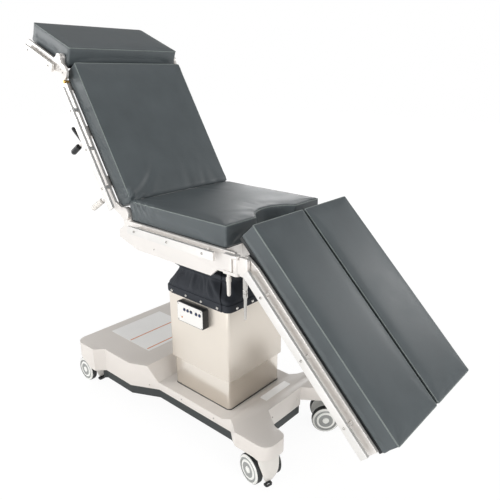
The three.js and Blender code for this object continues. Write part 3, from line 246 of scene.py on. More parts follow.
def material(finish, turn=0.0):
    """A procedural material for one finish. turn is the tilt in degrees of the piece its lines follow."""
    kind = FINISHES[finish]
    name = finish if not turn else f"{finish}_{round(turn)}"
    if name in bpy.data.materials:
        return bpy.data.materials[name]
    made = bpy.data.materials.new(name)
    made.use_nodes = True
    tree = made.node_tree
    tree.nodes.clear()
    colour = finish_colour(finish)
    place = add(tree, "ShaderNodeTexCoord").outputs["Object"]
    clouds = add(tree, "ShaderNodeTexNoise", {
        "Vector": place, "Scale": 1 / (kind.cloud * MM), "Detail": 4.0, "Roughness": 0.55})
    paint = add(tree, "ShaderNodeValToRGB", {"Fac": clouds.outputs["Fac"]})
    low, high = paint.color_ramp.elements
    low.position, high.position = CLOUD_RANGE
    low.color = (*shade(colour, kind.ends[0]), 1)
    high.color = (*shade(colour, kind.ends[1]), 1)
    if kind.grain == "brushed":
        lines = (BRUSH_STRETCH * kind.size * MM, kind.size * MM, kind.size * MM)
        along = add(tree, "ShaderNodeMapping", {
            "Vector": place, "Rotation": (0, math.radians(turn), 0), "Scale": lines}, vector_type="TEXTURE")
        pattern = add(tree, "ShaderNodeTexNoise", {
            "Vector": along.outputs["Vector"], "Scale": 1.0, "Detail": 3.0}).outputs["Fac"]
    elif kind.grain == "pebble":
        cells = add(tree, "ShaderNodeTexVoronoi", {
            "Vector": place, "Scale": 1 / (kind.size * MM), "Randomness": 0.9}, feature="SMOOTH_F1")
        pores = add(tree, "ShaderNodeTexNoise", {
            "Vector": place, "Scale": 0.6 / (kind.size * MM), "Detail": 3.0})
        pattern = add(tree, "ShaderNodeMath", {
            0: cells.outputs["Distance"], 1: pores.outputs["Fac"]}, operation="MULTIPLY").outputs[0]
    else:
        pattern = add(tree, "ShaderNodeTexNoise", {
            "Vector": place, "Scale": 1 / (kind.size * MM), "Detail": 2.0}).outputs["Fac"]
    rough = add(tree, "ShaderNodeMapRange", {
        "Value": pattern if kind.grain == "brushed" else clouds.outputs["Fac"],
        "From Min": CLOUD_RANGE[0], "From Max": CLOUD_RANGE[1],
        "To Min": kind.rough - kind.spread / 2, "To Max": kind.rough + kind.spread / 2})
    bump = add(tree, "ShaderNodeBump", {
        "Height": pattern, "Distance": kind.bump * MM, "Strength": 1.0})
    surface = add(tree, "ShaderNodeBsdfPrincipled", {
        "Base Color": paint.outputs["Color"], "Roughness": rough.outputs["Result"],
        "Metallic": kind.metal, "Normal": bump.outputs["Normal"],
        "Coat Weight": kind.coat, "Coat Roughness": COAT_ROUGHNESS})
    add(tree, "ShaderNodeOutputMaterial", {"Surface": surface.outputs["BSDF"]})
    return made


# ---------------------------------------------------------------- making and placing pieces

def linked(name, mesh):
    """A new object with this mesh, in the scene."""
    piece = bpy.data.objects.new(name, mesh)
    bpy.context.scene.collection.objects.link(piece)
    return piece


def meshed(form, name, finishes=(), place=Matrix.Identity(4), sharp=None):
    """A new object from a closed or open form, in its place and finishes. It is smooth, apart from edges that
    turn more than sharp degrees."""
    bmesh.ops.recalc_face_normals(form, faces=form.faces)
    form.transform(place)
    mesh = bpy.data.meshes.new(name)
    form.to_mesh(mesh)
    form.free()
    mesh.shade_smooth()
    if sharp:
        mesh.set_sharp_from_angle(angle=math.radians(sharp))
    for finish in finishes:
        mesh.materials.append(material(finish))
    return linked(name, mesh)


def applied(piece):
    """The piece with its modifiers' result as its own plain mesh."""
    graph = bpy.context.evaluated_depsgraph_get()
    mesh = bpy.data.meshes.new_from_object(piece.evaluated_get(graph))
    mesh.name = piece.name
    old = piece.data
    piece.modifiers.clear()
    piece.data = mesh
    bpy.data.meshes.remove(old)
    return piece


def settled(piece, body, slot, *nodes):
    """The piece rides on its body and hides the CAD nodes it replaces; slot is not used."""
    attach(piece, body)
    if nodes:
        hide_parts(*nodes)
    return piece


def repaint(node, finish, turn=0.0):
    """A CAD node whose shape is right gets its real finish."""
    mesh = frame["nodes"][node].data
    mesh.materials.clear()
    mesh.materials.append(material(finish, turn))


def merged_form(node):
    """A copy of a CAD node's shape, with its flat faces whole."""
    form = bmesh.new()
    form.from_mesh(frame["nodes"][node].data)
    bmesh.ops.remove_doubles(form, verts=form.verts, dist=0.01 * MM)
    bmesh.ops.dissolve_limit(form, angle_limit=math.radians(0.4), verts=form.verts, edges=form.edges)
    return form


def eased(node, finish, radius, turn=0.0):
    """A copy of a CAD node with rounded edges, in its real finish, which then stands for the node."""
    source = frame["nodes"][node]
    form = merged_form(node)
    mesh = bpy.data.meshes.new(f"{node}_form")
    form.to_mesh(mesh)
    form.free()
    mesh.shade_smooth()
    piece = linked(f"{node}_eased", mesh)
    bevel = piece.modifiers.new("eased edges", "BEVEL")
    bevel.width = radius
    bevel.segments = 3
    bevel.limit_method = "ANGLE"
    bevel.angle_limit = math.radians(34)
    bevel.miter_outer = "MITER_ARC"
    bevel.harden_normals = True
    piece.data.materials.append(material(finish, turn))
    applied(piece)
    slots = {row["node"]: row["material_slot"] for row in frame["record"]["subparts"]}
    return settled(piece, source["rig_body"], slots[node], node)


# Edges that turn more than this many degrees stay sharp on turned and on lofted shapes.
TURNED_SHARP = 38
LOFTED_SHARP = 55


def turned(name, profile, place, finishes, sides=40):
    """A turned shape. profile rows are (radius, height along the axis, and a finish number if it isn't 0) in
    millimetres, from one end to the other, and place takes the axis from +Z to where it is."""
    rows = [(*row, 0)[:3] for row in profile]
    form = bmesh.new()
    rings = []
    for radius, height, _ in rows:
        if radius == 0:
            rings.append([form.verts.new((0, 0, height * MM))])
        else:
            rings.append([form.verts.new((
                radius * MM * math.cos(2 * math.pi * i / sides),
                radius * MM * math.sin(2 * math.pi * i / sides), height * MM)) for i in range(sides)])
    for first, second, (_, _, finish) in zip(rings, rings[1:], rows[1:]):
        for i in range(sides):
            k = (i + 1) % sides
            corners = [first[i % len(first)], first[k % len(first)],
                       second[k % len(second)], second[i % len(second)]]
            unique = [c for n, c in enumerate(corners) if c not in corners[:n]]
            form.faces.new(unique).material_index = finish
    for ring, finish in ((rings[0], rows[0][2]), (rings[-1], rows[-1][2])):
        if len(ring) > 1:
            form.faces.new(ring).material_index = finish
    return meshed(form, name, finishes, place, TURNED_SHARP)


def toward(point, direction):
    """A place whose +Z looks along a direction."""
    return Matrix.Translation(point) @ Vector(direction).to_track_quat("Z", "Y").to_matrix().to_4x4()


def lofted(name, rings, finish, smooth_steps=0, closed=True):
    """A skin over rings of points, each ring with the same number of points."""
    form = bmesh.new()
    made = [[form.verts.new(point) for point in ring] for ring in rings]
    count = len(made[0])
    for first, second in zip(made, made[1:]):
        for i in range(count):
            k = (i + 1) % count
            form.faces.new((first[i], first[k], second[k], second[i]))
    if closed:
        form.faces.new(made[0])
        form.faces.new(made[-1])
    piece = meshed(form, name, [finish], sharp=LOFTED_SHARP)
    if smooth_steps:
        steps = piece.modifiers.new("smooth", "SUBSURF")
        steps.levels = steps.render_levels = smooth_steps
        applied(piece)
    return piece


def surface_tree(piece):
    """A search tree over a piece's faces."""
    form = bmesh.new()
    form.from_mesh(piece.data)
    tree = BVHTree.FromBMesh(form)
    form.free()
    return tree


def landed(tree, start, direction):
    """Where a straight line from start meets the surface."""
    point, facing, _, _ = tree.ray_cast(Vector(start), Vector(direction).normalized())
    if point is None:
        raise RuntimeError(f"nothing to fasten to from {tuple(round(c, 3) for c in start)}")
    return point, facing


# ---------------------------------------------------------------- screws and studs

def fastener_tree():
    """Geometry Nodes that put a head on each point, turned to the point's facing."""
    tree = bpy.data.node_groups.new("Fastener heads", "GeometryNodeTree")
    sockets = tree.interface
    sockets.new_socket("Geometry", in_out="INPUT", socket_type="NodeSocketGeometry")
    sockets.new_socket("Head", in_out="INPUT", socket_type="NodeSocketObject")
    sockets.new_socket("Diameter", in_out="INPUT", socket_type="NodeSocketFloat")
    sockets.new_socket("Finish", in_out="INPUT", socket_type="NodeSocketMaterial")
    sockets.new_socket("Geometry", in_out="OUTPUT", socket_type="NodeSocketGeometry")
    given = add(tree, "NodeGroupInput")
    head = add(tree, "GeometryNodeObjectInfo", {"Object": given.outputs["Head"]})
    facing = add(tree, "GeometryNodeInputNamedAttribute", {"Name": "facing"}, data_type="FLOAT_VECTOR")
    turn = add(tree, "FunctionNodeAlignRotationToVector", {"Vector": facing.outputs["Attribute"]}, axis="Z")
    heads = add(tree, "GeometryNodeInstanceOnPoints", {
        "Points": given.outputs["Geometry"], "Instance": head.outputs["Geometry"],
        "Rotation": turn.outputs["Rotation"], "Scale": given.outputs["Diameter"]})
    real = add(tree, "GeometryNodeRealizeInstances", {"Geometry": heads.outputs["Instances"]})
    painted = add(tree, "GeometryNodeSetMaterial", {
        "Geometry": real.outputs["Geometry"], "Material": given.outputs["Finish"]})
    add(tree, "NodeGroupOutput", {"Geometry": painted.outputs["Geometry"]})
    return tree


# Heads of unit diameter: a button-head screw with a recess, and a snap stud with a raised ring.
SCREW_HEAD = ((0, 160), (200, 160), (230, 330), (300, 350), (410, 290), (500, 130), (500, -60))
STUD_HEAD = ((0, 200), (170, 210), (230, 270), (340, 270), (450, 170), (500, 40), (500, -60))
HEAD_SIDES = 14


def fasteners(name, spots, body, slot, profile, diameter, finish="nickel_plate"):
    """One mesh of equal heads for one body. spots are (point, facing)."""
    tree = bpy.data.node_groups.get("Fastener heads") or fastener_tree()
    head = turned(f"{name}_head", profile, Matrix.Identity(4), [finish], HEAD_SIDES)
    mesh = bpy.data.meshes.new(f"{name}_points")
    mesh.from_pydata([tuple(point) for point, _ in spots], [], [])
    facing = mesh.attributes.new("facing", "FLOAT_VECTOR", "POINT")
    facing.data.foreach_set("vector", [part for _, way in spots for part in way])
    piece = linked(name, mesh)
    nodes = piece.modifiers.new("heads", "NODES")
    nodes.node_group = tree
    values = {"Head": head, "Diameter": diameter, "Finish": material(finish)}
    for item in tree.interface.items_tree:
        if item.in_out == "INPUT" and item.name in values:
            nodes[item.identifier] = values[item.name]
    applied(piece)
    bpy.data.objects.remove(head)
    return settled(piece, body, slot)


# ---------------------------------------------------------------- cushions

def box_outline(low_x, high_x, low_y, high_y, corner=7.0, steps=4):
    """A rectangle with rounded corners, as points in millimetres."""
    points = []
    for cx, cy, start in ((high_x - corner, high_y - corner, 0), (low_x + corner, high_y - corner, 90),
                          (low_x + corner, low_y + corner, 180), (high_x - corner, low_y + corner, 270)):
        for i in range(steps + 1):
            a = math.radians(start + 90 * i / steps)
            points.append((cx + corner * math.cos(a), cy + corner * math.sin(a)))
    return points


def seat_outline(low_x, high_x, half, centre_x, radius, steps=28):
    """The seat pad's outline, with the round cut-out in its foot end."""
    reach = math.sqrt(radius ** 2 - (centre_x - high_x) ** 2)
    start = math.atan2(reach, high_x - centre_x)
    end = 2 * math.pi - start
    arc = [(centre_x + radius * math.cos(start + (end - start) * i / steps),
            radius * math.sin(start + (end - start) * i / steps)) for i in range(steps + 1)]
    return box_outline(low_x, high_x, -half, half) + arc[::-1]


def pad_form(name, outline, low, high):
    """A closed block of foam with an even net of points."""
    form = bmesh.new()
    floor = [form.verts.new((x * MM, y * MM, low * MM)) for x, y in outline]
    roof = [form.verts.new((x * MM, y * MM, high * MM)) for x, y in outline]
    form.faces.new(floor)
    form.faces.new(roof)
    for i in range(len(outline)):
        k = (i + 1) % len(outline)
        form.faces.new((floor[i], floor[k], roof[k], roof[i]))
    piece = meshed(form, name)
    net = piece.modifiers.new("net", "REMESH")
    net.mode = "VOXEL"
    net.voxel_size = bpy.context.scene.table_sizes.pad_voxel
    net.use_smooth_shade = True
    return applied(piece)


CLOTH_FRAMES = 20
# Height in millimetres of the cover's lower edge, which is stapled to the deck board and stays put.
STAPLED_EDGE = 7


def swell(piece, low, looseness, cap, tucked):
    """Blows the cover up as cloth over its foam. looseness gives each point's spare cloth from 0 to 1, cap
    keeps every point near its start, and tucked tells where the cover is pressed into its neighbour."""
    start = [v.co.copy() for v in piece.data.vertices]
    fixed = [i for i, co in enumerate(start) if co.z < (low + STAPLED_EDGE) * MM or tucked(co / MM)]
    held = piece.vertex_groups.new(name="held")
    held.add(fixed, 1.0, "REPLACE")
    loose = piece.vertex_groups.new(name="loose")
    for i, co in enumerate(start):
        loose.add([i], looseness(co / MM), "REPLACE")
    cloth = piece.modifiers.new("cover", "CLOTH")
    cover = cloth.settings
    cover.quality = 4
    cover.mass = 0.3
    cover.tension_stiffness = cover.compression_stiffness = 12
    cover.shear_stiffness = 6
    cover.bending_stiffness = 0.4
    cover.use_pressure = True
    cover.uniform_pressure_force = 4
    cover.vertex_group_mass = "held"
    cover.vertex_group_shrink = "loose"
    cover.shrink_min = 0.0
    cover.shrink_max = -0.05
    cover.effector_weights.gravity = 0
    cloth.collision_settings.use_collision = False
    cloth.point_cache.frame_start = 1
    cloth.point_cache.frame_end = CLOTH_FRAMES
    scene = bpy.context.scene
    for step in range(1, CLOTH_FRAMES + 1):
        scene.frame_set(step)
    graph = bpy.context.evaluated_depsgraph_get()
    blown = [v.co.copy() for v in piece.evaluated_get(graph).data.vertices]
    piece.modifiers.clear()
    scene.frame_set(1)
    for vertex, before, after in zip(piece.data.vertices, start, blown):
        move = after - before
        if move.length > cap:
            move *= cap / move.length
        vertex.co = before + move
    piece.vertex_groups.clear()


def crowned(piece, box, crown, pull):
    """The plain form of a stuffed pad: a raised middle, and sides that pull in between the corners."""
    (low_x, high_x), (low_y, high_y), (low, high) = box
    for vertex in piece.data.vertices:
        x, y, z = vertex.co / MM
        u = 2 * (x - low_x) / (high_x - low_x) - 1
        v = 2 * (y - low_y) / (high_y - low_y) - 1
        rise = max(0.0, min(1.0, (z - low) / (high - low)))
        vertex.co.z += crown * MM * rise * max(0.0, (1 - u ** 4) * (1 - v ** 4))
        side = math.sin(math.pi * rise)
        vertex.co.x -= math.copysign(pull * MM * side * max(0.0, 1 - v ** 2) * abs(u) ** 8, u)
        vertex.co.y -= math.copysign(pull * MM * side * max(0.0, 1 - u ** 2) * abs(v) ** 8, v)


# Beside a pressed fold the cloth rises: how many widths away, and what share of the fold's depth.
RIDGE_AWAY = 1.9
RIDGE_SHARE = 0.55


def wrinkled(piece, wrinkles):
    """Presses long shallow folds into the cover. Each is (start, end, width, depth) in millimetres:
    the fold is deepest at its start and fades to its end."""
    for vertex in piece.data.vertices:
        co = vertex.co / MM
        sink = 0.0
        for start, end, width, depth in wrinkles:
            first, last = Vector(start), Vector(end)
            along = last - first
            share = (co - first).dot(along) / along.length_squared
            if -0.1 < share < 1.0:
                foot = first + along * max(0.0, share)
                far = (co - foot).length
                if far < 4 * width:
                    fade = (1 - max(0.0, share)) ** 1.2
                    valley = math.exp(-(far / width) ** 2)
                    ridge = math.exp(-((far - RIDGE_AWAY * width) / width) ** 2)
                    sink += depth * fade * (valley - RIDGE_SHARE * ridge)
        if sink:
            vertex.co -= vertex.normal * sink * MM


# The sewn edge: distance of its points, sides of its round section, how far off a line starts that looks for
# the pad, in metres, and how deep the edge runs where the pad is pressed into its neighbour.
SEAM_STEP = 12
SEAM_SIDES = 8
SEAM_SEARCH = 0.02
SEAM_TUCK = 2


def sewn_edge(name, piece, outline, height, place, tucked):
    """A thin sewn edge that follows the pad's top rim, laid on the pad's real surface."""
    tree = surface_tree(piece)
    radius = bpy.context.scene.table_sizes.seam
    up = Vector((0, 0, 1))
    points = []
    for i, corner in enumerate(outline):
        here, there = Vector(corner), Vector(outline[(i + 1) % len(outline)])
        steps = max(1, round((there - here).length / SEAM_STEP))
        points += [here.lerp(there, s / steps) for s in range(steps)]
    form = bmesh.new()
    rings = []
    for i, point in enumerate(points):
        along = (points[(i + 1) % len(points)] - points[i - 1]).normalized()
        out = Vector((along.y, -along.x, 0))
        start = Vector((point.x, point.y, height)) * MM + (out + up) * SEAM_SEARCH
        hit = tree.ray_cast(start, -(out + up).normalized())[0]
        if hit is None:
            raise RuntimeError(f"{name} found no rim")
        if tucked(point):
            hit -= (out + up) * SEAM_TUCK * MM
        angles = [2 * math.pi * k / SEAM_SIDES for k in range(SEAM_SIDES)]
        rings.append([form.verts.new(hit + radius * (out * math.cos(a) + up * math.sin(a))) for a in angles])
    for first, second in zip(rings, rings[1:] + rings[:1]):
        for k in range(SEAM_SIDES):
            n = (k + 1) % SEAM_SIDES
            form.faces.new((first[k], second[k], second[n], first[n]))
    # The seam's paler finish is a painted highlight along the pad's top rim.
    return meshed(form, name, ["leatherette_seam"], place)


def cushion(node, outline, low, high, place, looseness, wrinkles=(), crown=4.0, pull=2.5,
            tucked=lambda point: False):
    """One pad: foam block, cloth cover blown up over it, pressed folds, and its sewn rim."""
    xs = [p[0] for p in outline]
    ys = [p[1] for p in outline]
    box = ((min(xs), max(xs)), (min(ys), max(ys)), (low, high))
    piece = pad_form(f"{node}_stuffed", outline, low, high)
    crowned(piece, box, crown, pull)
    swell(piece, low, looseness, bpy.context.scene.table_sizes.pad_swell, tucked)
    wrinkled(piece, wrinkles)
    piece.data.materials.clear()
    piece.data.materials.append(material("coated_leatherette"))
    fine = piece.modifiers.new("fine", "SUBSURF")
    fine.levels = fine.render_levels = 1
    applied(piece)
    piece.data.shade_smooth()
    seam = sewn_edge(f"{node}_seam", piece, outline, high + crown * 0.2, place, tucked)
    piece.data.transform(place)
    body = frame["nodes"][node]["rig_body"]
    settled(piece, body, "pad_leatherette", node)
    settled(seam, body, "pad_leatherette")
    return piece


# ---------------------------------------------------------------- operators

# Blank plates and thin printed lines on the base: name, where x meets the cover, low and high corner, how far
# it lies above the cover, corner radius, finish.
PLATES = (
    ("head_plate", -466.5, (-603, -140), (-330, 140), 0.0, 5, "vinyl_label"),
    ("foot_plate", 252, (220, -52), (284, 96), 0.0, 5, "vinyl_label"),
    ("plate_line_1", -470, (-470, -134), (-464, 134), 0.3, 0.4, "printed_line"),
    ("plate_line_2", -352, (-352, -134), (-346, 134), 0.3, 0.4, "printed_line"))
PLATE_FACES = (-0.2, 0.5)
ABOVE_BASE = 0.26


class OT_base(bpy.types.Operator):
    """Builds the base's cover and frame, with the blank plates on them"""
    bl_idname = "table.base"
    bl_label = "Base"

    def execute(self, context):
        sizes = context.scene.table_sizes
        cover = eased("base_cover", "powder_coated_steel", sizes.cover_edge)
        eased("base_frame", "textured_paint", sizes.plate_edge * 2)
        tree = surface_tree(cover)
        for name, x, low, high, lift, corner, finish in PLATES:
            top, _ = landed(tree, COLUMN @ Vector((x * MM, 0, ABOVE_BASE)), (0, 0, -1))
            outline = box_outline(low[0], high[0], low[1], high[1], corner)
            rings = [[COLUMN @ Vector((x * MM, y * MM, top.z + (lift + face) * MM)) for x, y in outline]
                     for face in PLATE_FACES]
            settled(lofted(name, rings, finish), "base", "panel_white")
        return {"FINISHED"}


# The gasket round the column's foot: its corner radius, and its section as distance outwards and height.
GASKET_CORNER = 16
GASKET_SECTION = ((1.6, -1.0), (1.6, 1.2), (0.9, 1.9), (-1.5, 1.9))


class OT_column(bpy.types.Operator):
    """Builds the column's two covers, the gasket round its foot and the lift's parts inside"""
    bl_idname = "table.column"
    bl_label = "Column"

    def execute(self, context):
        sizes = context.scene.table_sizes
        eased("column_lower_cover", "polished_stainless", sizes.plate_edge * 1.5)
        eased("column_upper_cover", "satin_stainless", sizes.plate_edge * 1.5)
        for node in ("lift_cylinder", "lift_ram", "tilt_cross"):
            repaint(node, "nickel_plate")
        low, high = (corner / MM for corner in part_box("column_lower_cover"))
        base = surface_tree(bpy.data.objects["base_cover_eased"])
        deck, _ = landed(base, (high.x * MM + 0.006, 0, 0.5), (0, 0, -1))
        rings = []
        for out, up in GASKET_SECTION:
            outline = box_outline(low.x - out, high.x + out, low.y - out, high.y + out, GASKET_CORNER + out)
            rings.append([Vector((x * MM, y * MM, deck.z + up * MM)) for x, y in outline])
        settled(lofted("column_gasket", rings, "polyurethane_tread", closed=False), "base", "dark_frame")
        return {"FINISHED"}


# Height, half sizes and corner radius of the boot at each level, in millimetres.
BOOT_LEVELS = (
    (553, 167.5, 160.5, 26), (554.5, 168.4, 161.4, 26), (566, 168.6, 161.6, 26), (577, 168.6, 161.6, 26),
    (580, 168.2, 161.2, 26), (581, 163.6, 156.6, 26), (586, 164.4, 157.4, 27), (593, 162.4, 155.4, 28),
    (600, 158, 151, 28), (608, 154.5, 147.5, 29), (616, 151, 144, 30), (624, 147, 140, 31),
    (632, 142, 135, 32), (640, 137, 130, 32), (646, 134, 127, 32), (652, 134, 127, 31),
    (657, 138, 131, 30), (661, 145, 137, 28), (664, 149, 141, 26), (667, 150, 142, 26),
    (674, 150, 142, 26), (677, 149.5, 141.5, 26), (678.5, 147.5, 139.5, 26), (678.6, 130, 122, 26),
    (678.6, 100, 95, 26))
BOOT_POINTS = 200
BOOT_WALL = 1.6
# Snap studs in the boot's hem: places along the sides and along the ends, and their height.
STUDS_X = (-126, -47, 34, 116)
STUDS_Y = (-118, -36, 40, 118)
STUD_HEIGHT = 564.5


def boot_section(half_x, half_y, corner, count):
    """Evenly spaced points round a rounded rectangle, with their outward directions."""
    points = []
    straight_x, straight_y = 2 * (half_x - corner), 2 * (half_y - corner)
    turn = math.pi * corner / 2
    parts = (("x", -1, straight_x), ("c", 270, turn), ("y", 1, straight_y), ("c", 0, turn),
             ("x", 1, straight_x), ("c", 90, turn), ("y", -1, straight_y), ("c", 180, turn))
    total = sum(part[2] for part in parts)
    for i in range(count):
        far = total * i / count
        for index, (kind, value, length) in enumerate(parts):
            if far < length or index == len(parts) - 1:
                break
            far -= length
        share = far / length
        if kind == "x":
            x = (-1 if value < 0 else 1) * (share - 0.5) * straight_x
            points.append((Vector((x, value * half_y, 0)), Vector((0, value, 0))))
        elif kind == "y":
            y = value * (share - 0.5) * straight_y
            points.append((Vector((value * half_x, y, 0)), Vector((value, 0, 0))))
        else:
            a = math.radians(value + 90 * share)
            way = Vector((math.cos(a), math.sin(a), 0))
            cx = (half_x - corner) * (1 if value in (270, 0) else -1)
            cy = (half_y - corner) * (1 if value in (0, 90) else -1)
            points.append((Vector((cx, cy, 0)) + way * corner, way))
    return points


def boot_fold(point, height):
    """How far a fold of the boot stands out, in millimetres: slack cloth hangs in slanted ridges and hollows,
    wide, middling and fine, and is tight at the hem and at the flange."""
    slack = max(0.0, min(1.0, (height - 583) / 20)) * max(0.0, min(1.0, (663 - height) / 14))
    angle = math.atan2(point.y, point.x)
    twist = angle + 0.004 * (height - 620)

    def waves(count, turn, up):
        return noise.noise(Vector((count * math.cos(turn), count * math.sin(turn), up)))

    wide = waves(3.1, angle, height / 75)
    middling = 1 - 2.2 * abs(waves(5.2, twist, 7 + height / 120))
    fine = 1 - 3.0 * abs(waves(9, angle, 3 + height / 38))
    return slack * (10 * wide + 7 * middling + 2.2 * fine)


class OT_boot(bpy.types.Operator):
    """Builds the leatherette boot between the column and the tilting top, with its snap studs"""
    bl_idname = "table.boot"
    bl_label = "Boot"

    def execute(self, context):
        rings = []
        for height, half_x, half_y, corner in BOOT_LEVELS:
            ring = []
            for point, way in boot_section(half_x, half_y, corner, BOOT_POINTS):
                moved = point + way * boot_fold(point, height)
                ring.append(COLUMN @ (Vector((moved.x, moved.y, height)) * MM))
            rings.append(ring)
        boot = lofted("boot_folded", rings, "boot_leatherette", closed=False)
        wall = boot.modifiers.new("wall", "SOLIDIFY")
        wall.thickness = BOOT_WALL * MM
        wall.offset = -1
        fine = boot.modifiers.new("fine", "SUBSURF")
        fine.levels = fine.render_levels = 1
        applied(boot)
        tree = surface_tree(boot)
        spots = [landed(tree, COLUMN @ Vector((x * MM, side * OUTSIDE, STUD_HEIGHT * MM)), (0, -side, 0))
                 for x in STUDS_X for side in (-1, 1)]
        spots += [landed(tree, COLUMN @ Vector((side * OUTSIDE, y * MM, STUD_HEIGHT * MM)), (-side, 0, 0))
                  for y in STUDS_Y for side in (-1, 1)]
        stud = context.scene.table_sizes.stud
        fasteners("boot_studs", spots, "lifting_column", "inner_steel", STUD_HEAD, stud)
        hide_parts("column_boot")
        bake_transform(boot)
        return {"FINISHED"}


# Turned profiles on the panel, as radius and height; the rim's goes once round its section.
PUSH_BUTTON = ((0, 0), (4.6, 0), (4.6, 10.4), (4.3, 11.2), (3.2, 11.9), (1.6, 12.15), (0, 12.2))
BUTTON_RIM = ((5.6, -0.6), (6.7, -0.6), (6.7, 0.5), (6.4, 0.8), (5.9, 0.8), (5.6, 0.5), (5.6, -0.6))
LAMP_LENS = ((0, -0.4), (3.4, -0.4), (3.4, 1.0), (2.7, 1.9), (1.4, 2.4), (0, 2.5))
LAMP_PLACE = (-51, 484)
PANEL_SCREW_INSET = 6


class OT_panel(bpy.types.Operator):
    """Builds the control panel, its push buttons and its lamp"""
    bl_idname = "table.panel"
    bl_label = "Control panel"

    def execute(self, context):
        sizes = context.scene.table_sizes
        eased("panel_housing", "moulded_abs_black", sizes.plate_edge * 2)
        face = eased("panel_face", "polyester_overlay", sizes.plate_edge * 0.4)
        low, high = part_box("panel_face")
        for number in range(1, 6):
            node = f"panel_button_{number}"
            button_low, button_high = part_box(node)
            x, _, z = (button_low + button_high) / 2
            place = toward((x, button_high.y, z), (0, -1, 0))
            button = turned(f"push_button_{number}", PUSH_BUTTON, place, ["silicone_button"], 28)
            settled(button, node, "button_blue", node)
            rim = turned_ring(f"button_rim_{number}", BUTTON_RIM, toward((x, low.y, z), (0, -1, 0)),
                              "moulded_abs_black")
            settled(rim, "lifting_column", "black_plastic")
        x, z = LAMP_PLACE
        place = toward(COLUMN @ Vector((x * MM, low.y, z * MM)), (0, -1, 0))
        lamp = turned("panel_lamp", LAMP_LENS, place, ["tinted_acrylic"], 24)
        settled(lamp, "lifting_column", "panel_white")
        inset = PANEL_SCREW_INSET * MM
        corners = [(x, z) for x in (low.x + inset, high.x - inset) for z in (low.z + inset, high.z - inset)]
        tree = surface_tree(face)
        spots = [landed(tree, (x, -OUTSIDE, z), (0, 1, 0)) for x, z in corners]
        fasteners("panel_screws", spots, "lifting_column", "inner_steel", SCREW_HEAD, sizes.small_screw * 0.7)
        return {"FINISHED"}


def turned_ring(name, profile, place, finish, sides=28):
    """A turned ring with a hole: profile rows go once round its section and end where they start."""
    rings = []
    for i in range(sides):
        a = 2 * math.pi * i / sides
        rings.append([place @ (Vector((r * math.cos(a), r * math.sin(a), h)) * MM) for r, h in profile[:-1]])
    ring = lofted(name, rings + [rings[0]], finish, closed=False)
    form = bmesh.new()
    form.from_mesh(ring.data)
    bmesh.ops.remove_doubles(form, verts=form.verts, dist=0.01 * MM)
    bmesh.ops.recalc_face_normals(form, faces=form.faces)
    form.to_mesh(ring.data)
    form.free()
    ring.data.set_sharp_from_angle(angle=math.radians(TURNED_SHARP))
    return ring


# Half of a twin caster's wheel set, from its outer hub to the middle of the axle: radius, height, finish.
# The recessed rows of the wheel discs take a darker grey finish, which is painted shade in the grooves.
DISC, TREAD, STEEL, RECESS_PAINTED_SHADE = 0, 1, 2, 3
WHEEL_SIDES = 72
WHEEL_FINISHES = ["moulded_polypropylene", "polyurethane_tread", "nickel_plate", "polypropylene_recess"]
WHEEL_HALF = (
    (0, 56.4, DISC), (9, 56.8, DISC), (12.0, 56.6, DISC), (13.0, 54.8, RECESS_PAINTED_SHADE), (15.5, 54.8, RECESS_PAINTED_SHADE),
    (16.5, 56.2, RECESS_PAINTED_SHADE), (28, 56.3, DISC), (35, 55.9, DISC), (36.4, 53.8, RECESS_PAINTED_SHADE), (39.6, 53.8, RECESS_PAINTED_SHADE),
    (41.0, 55.6, RECESS_PAINTED_SHADE), (45, 55.6, DISC), (48.5, 54.9, DISC), (50.6, 53.2, DISC), (51.2, 51.6, DISC),
    (52.4, 51.3, TREAD), (53.8, 50.2, TREAD), (54.4, 48.0, TREAD), (54.4, 43.4, TREAD), (53.3, 42.8, TREAD),
    (53.3, 41.0, TREAD), (54.4, 40.4, TREAD), (54.4, 34.4, TREAD), (54.0, 31.8, TREAD), (52.6, 30.0, TREAD),
    (50.4, 29.4, TREAD), (49.6, 29.0, DISC), (47, 28.2, DISC), (44, 30.6, DISC), (18, 30.6, DISC),
    (14, 28.0, DISC), (6.2, 28.0, DISC), (6.0, 26.0, STEEL))
# The shield between the wheels: height, how far it reaches to the rear and to the front, and half width.
HOOD_LEVELS = (
    (13, 14.5, 24.5, 12.5), (14.5, 14, 25.5, 13.5), (24, 21, 29.5, 21), (38, 28, 33, 28), (54.5, 30, 35, 33),
    (74, 27.5, 33, 38), (98, 13, 27, 43), (116, 12.5, 25, 46), (131, 13.5, 24, 47), (133.6, 14, 23.6, 46.4))
HOOD_SIDES = 28
# The mounting block on the shield: its ends, half width and corner, and its height and inset at each level.
BLOCK_ENDS, BLOCK_HALF, BLOCK_CORNER = (-12, 20), 46.5, 9
BLOCK_LEVELS = ((115, 1.6), (116, 0.4), (118, 0), (131.5, 0), (133.1, 0.5), (133.6, 1.6))


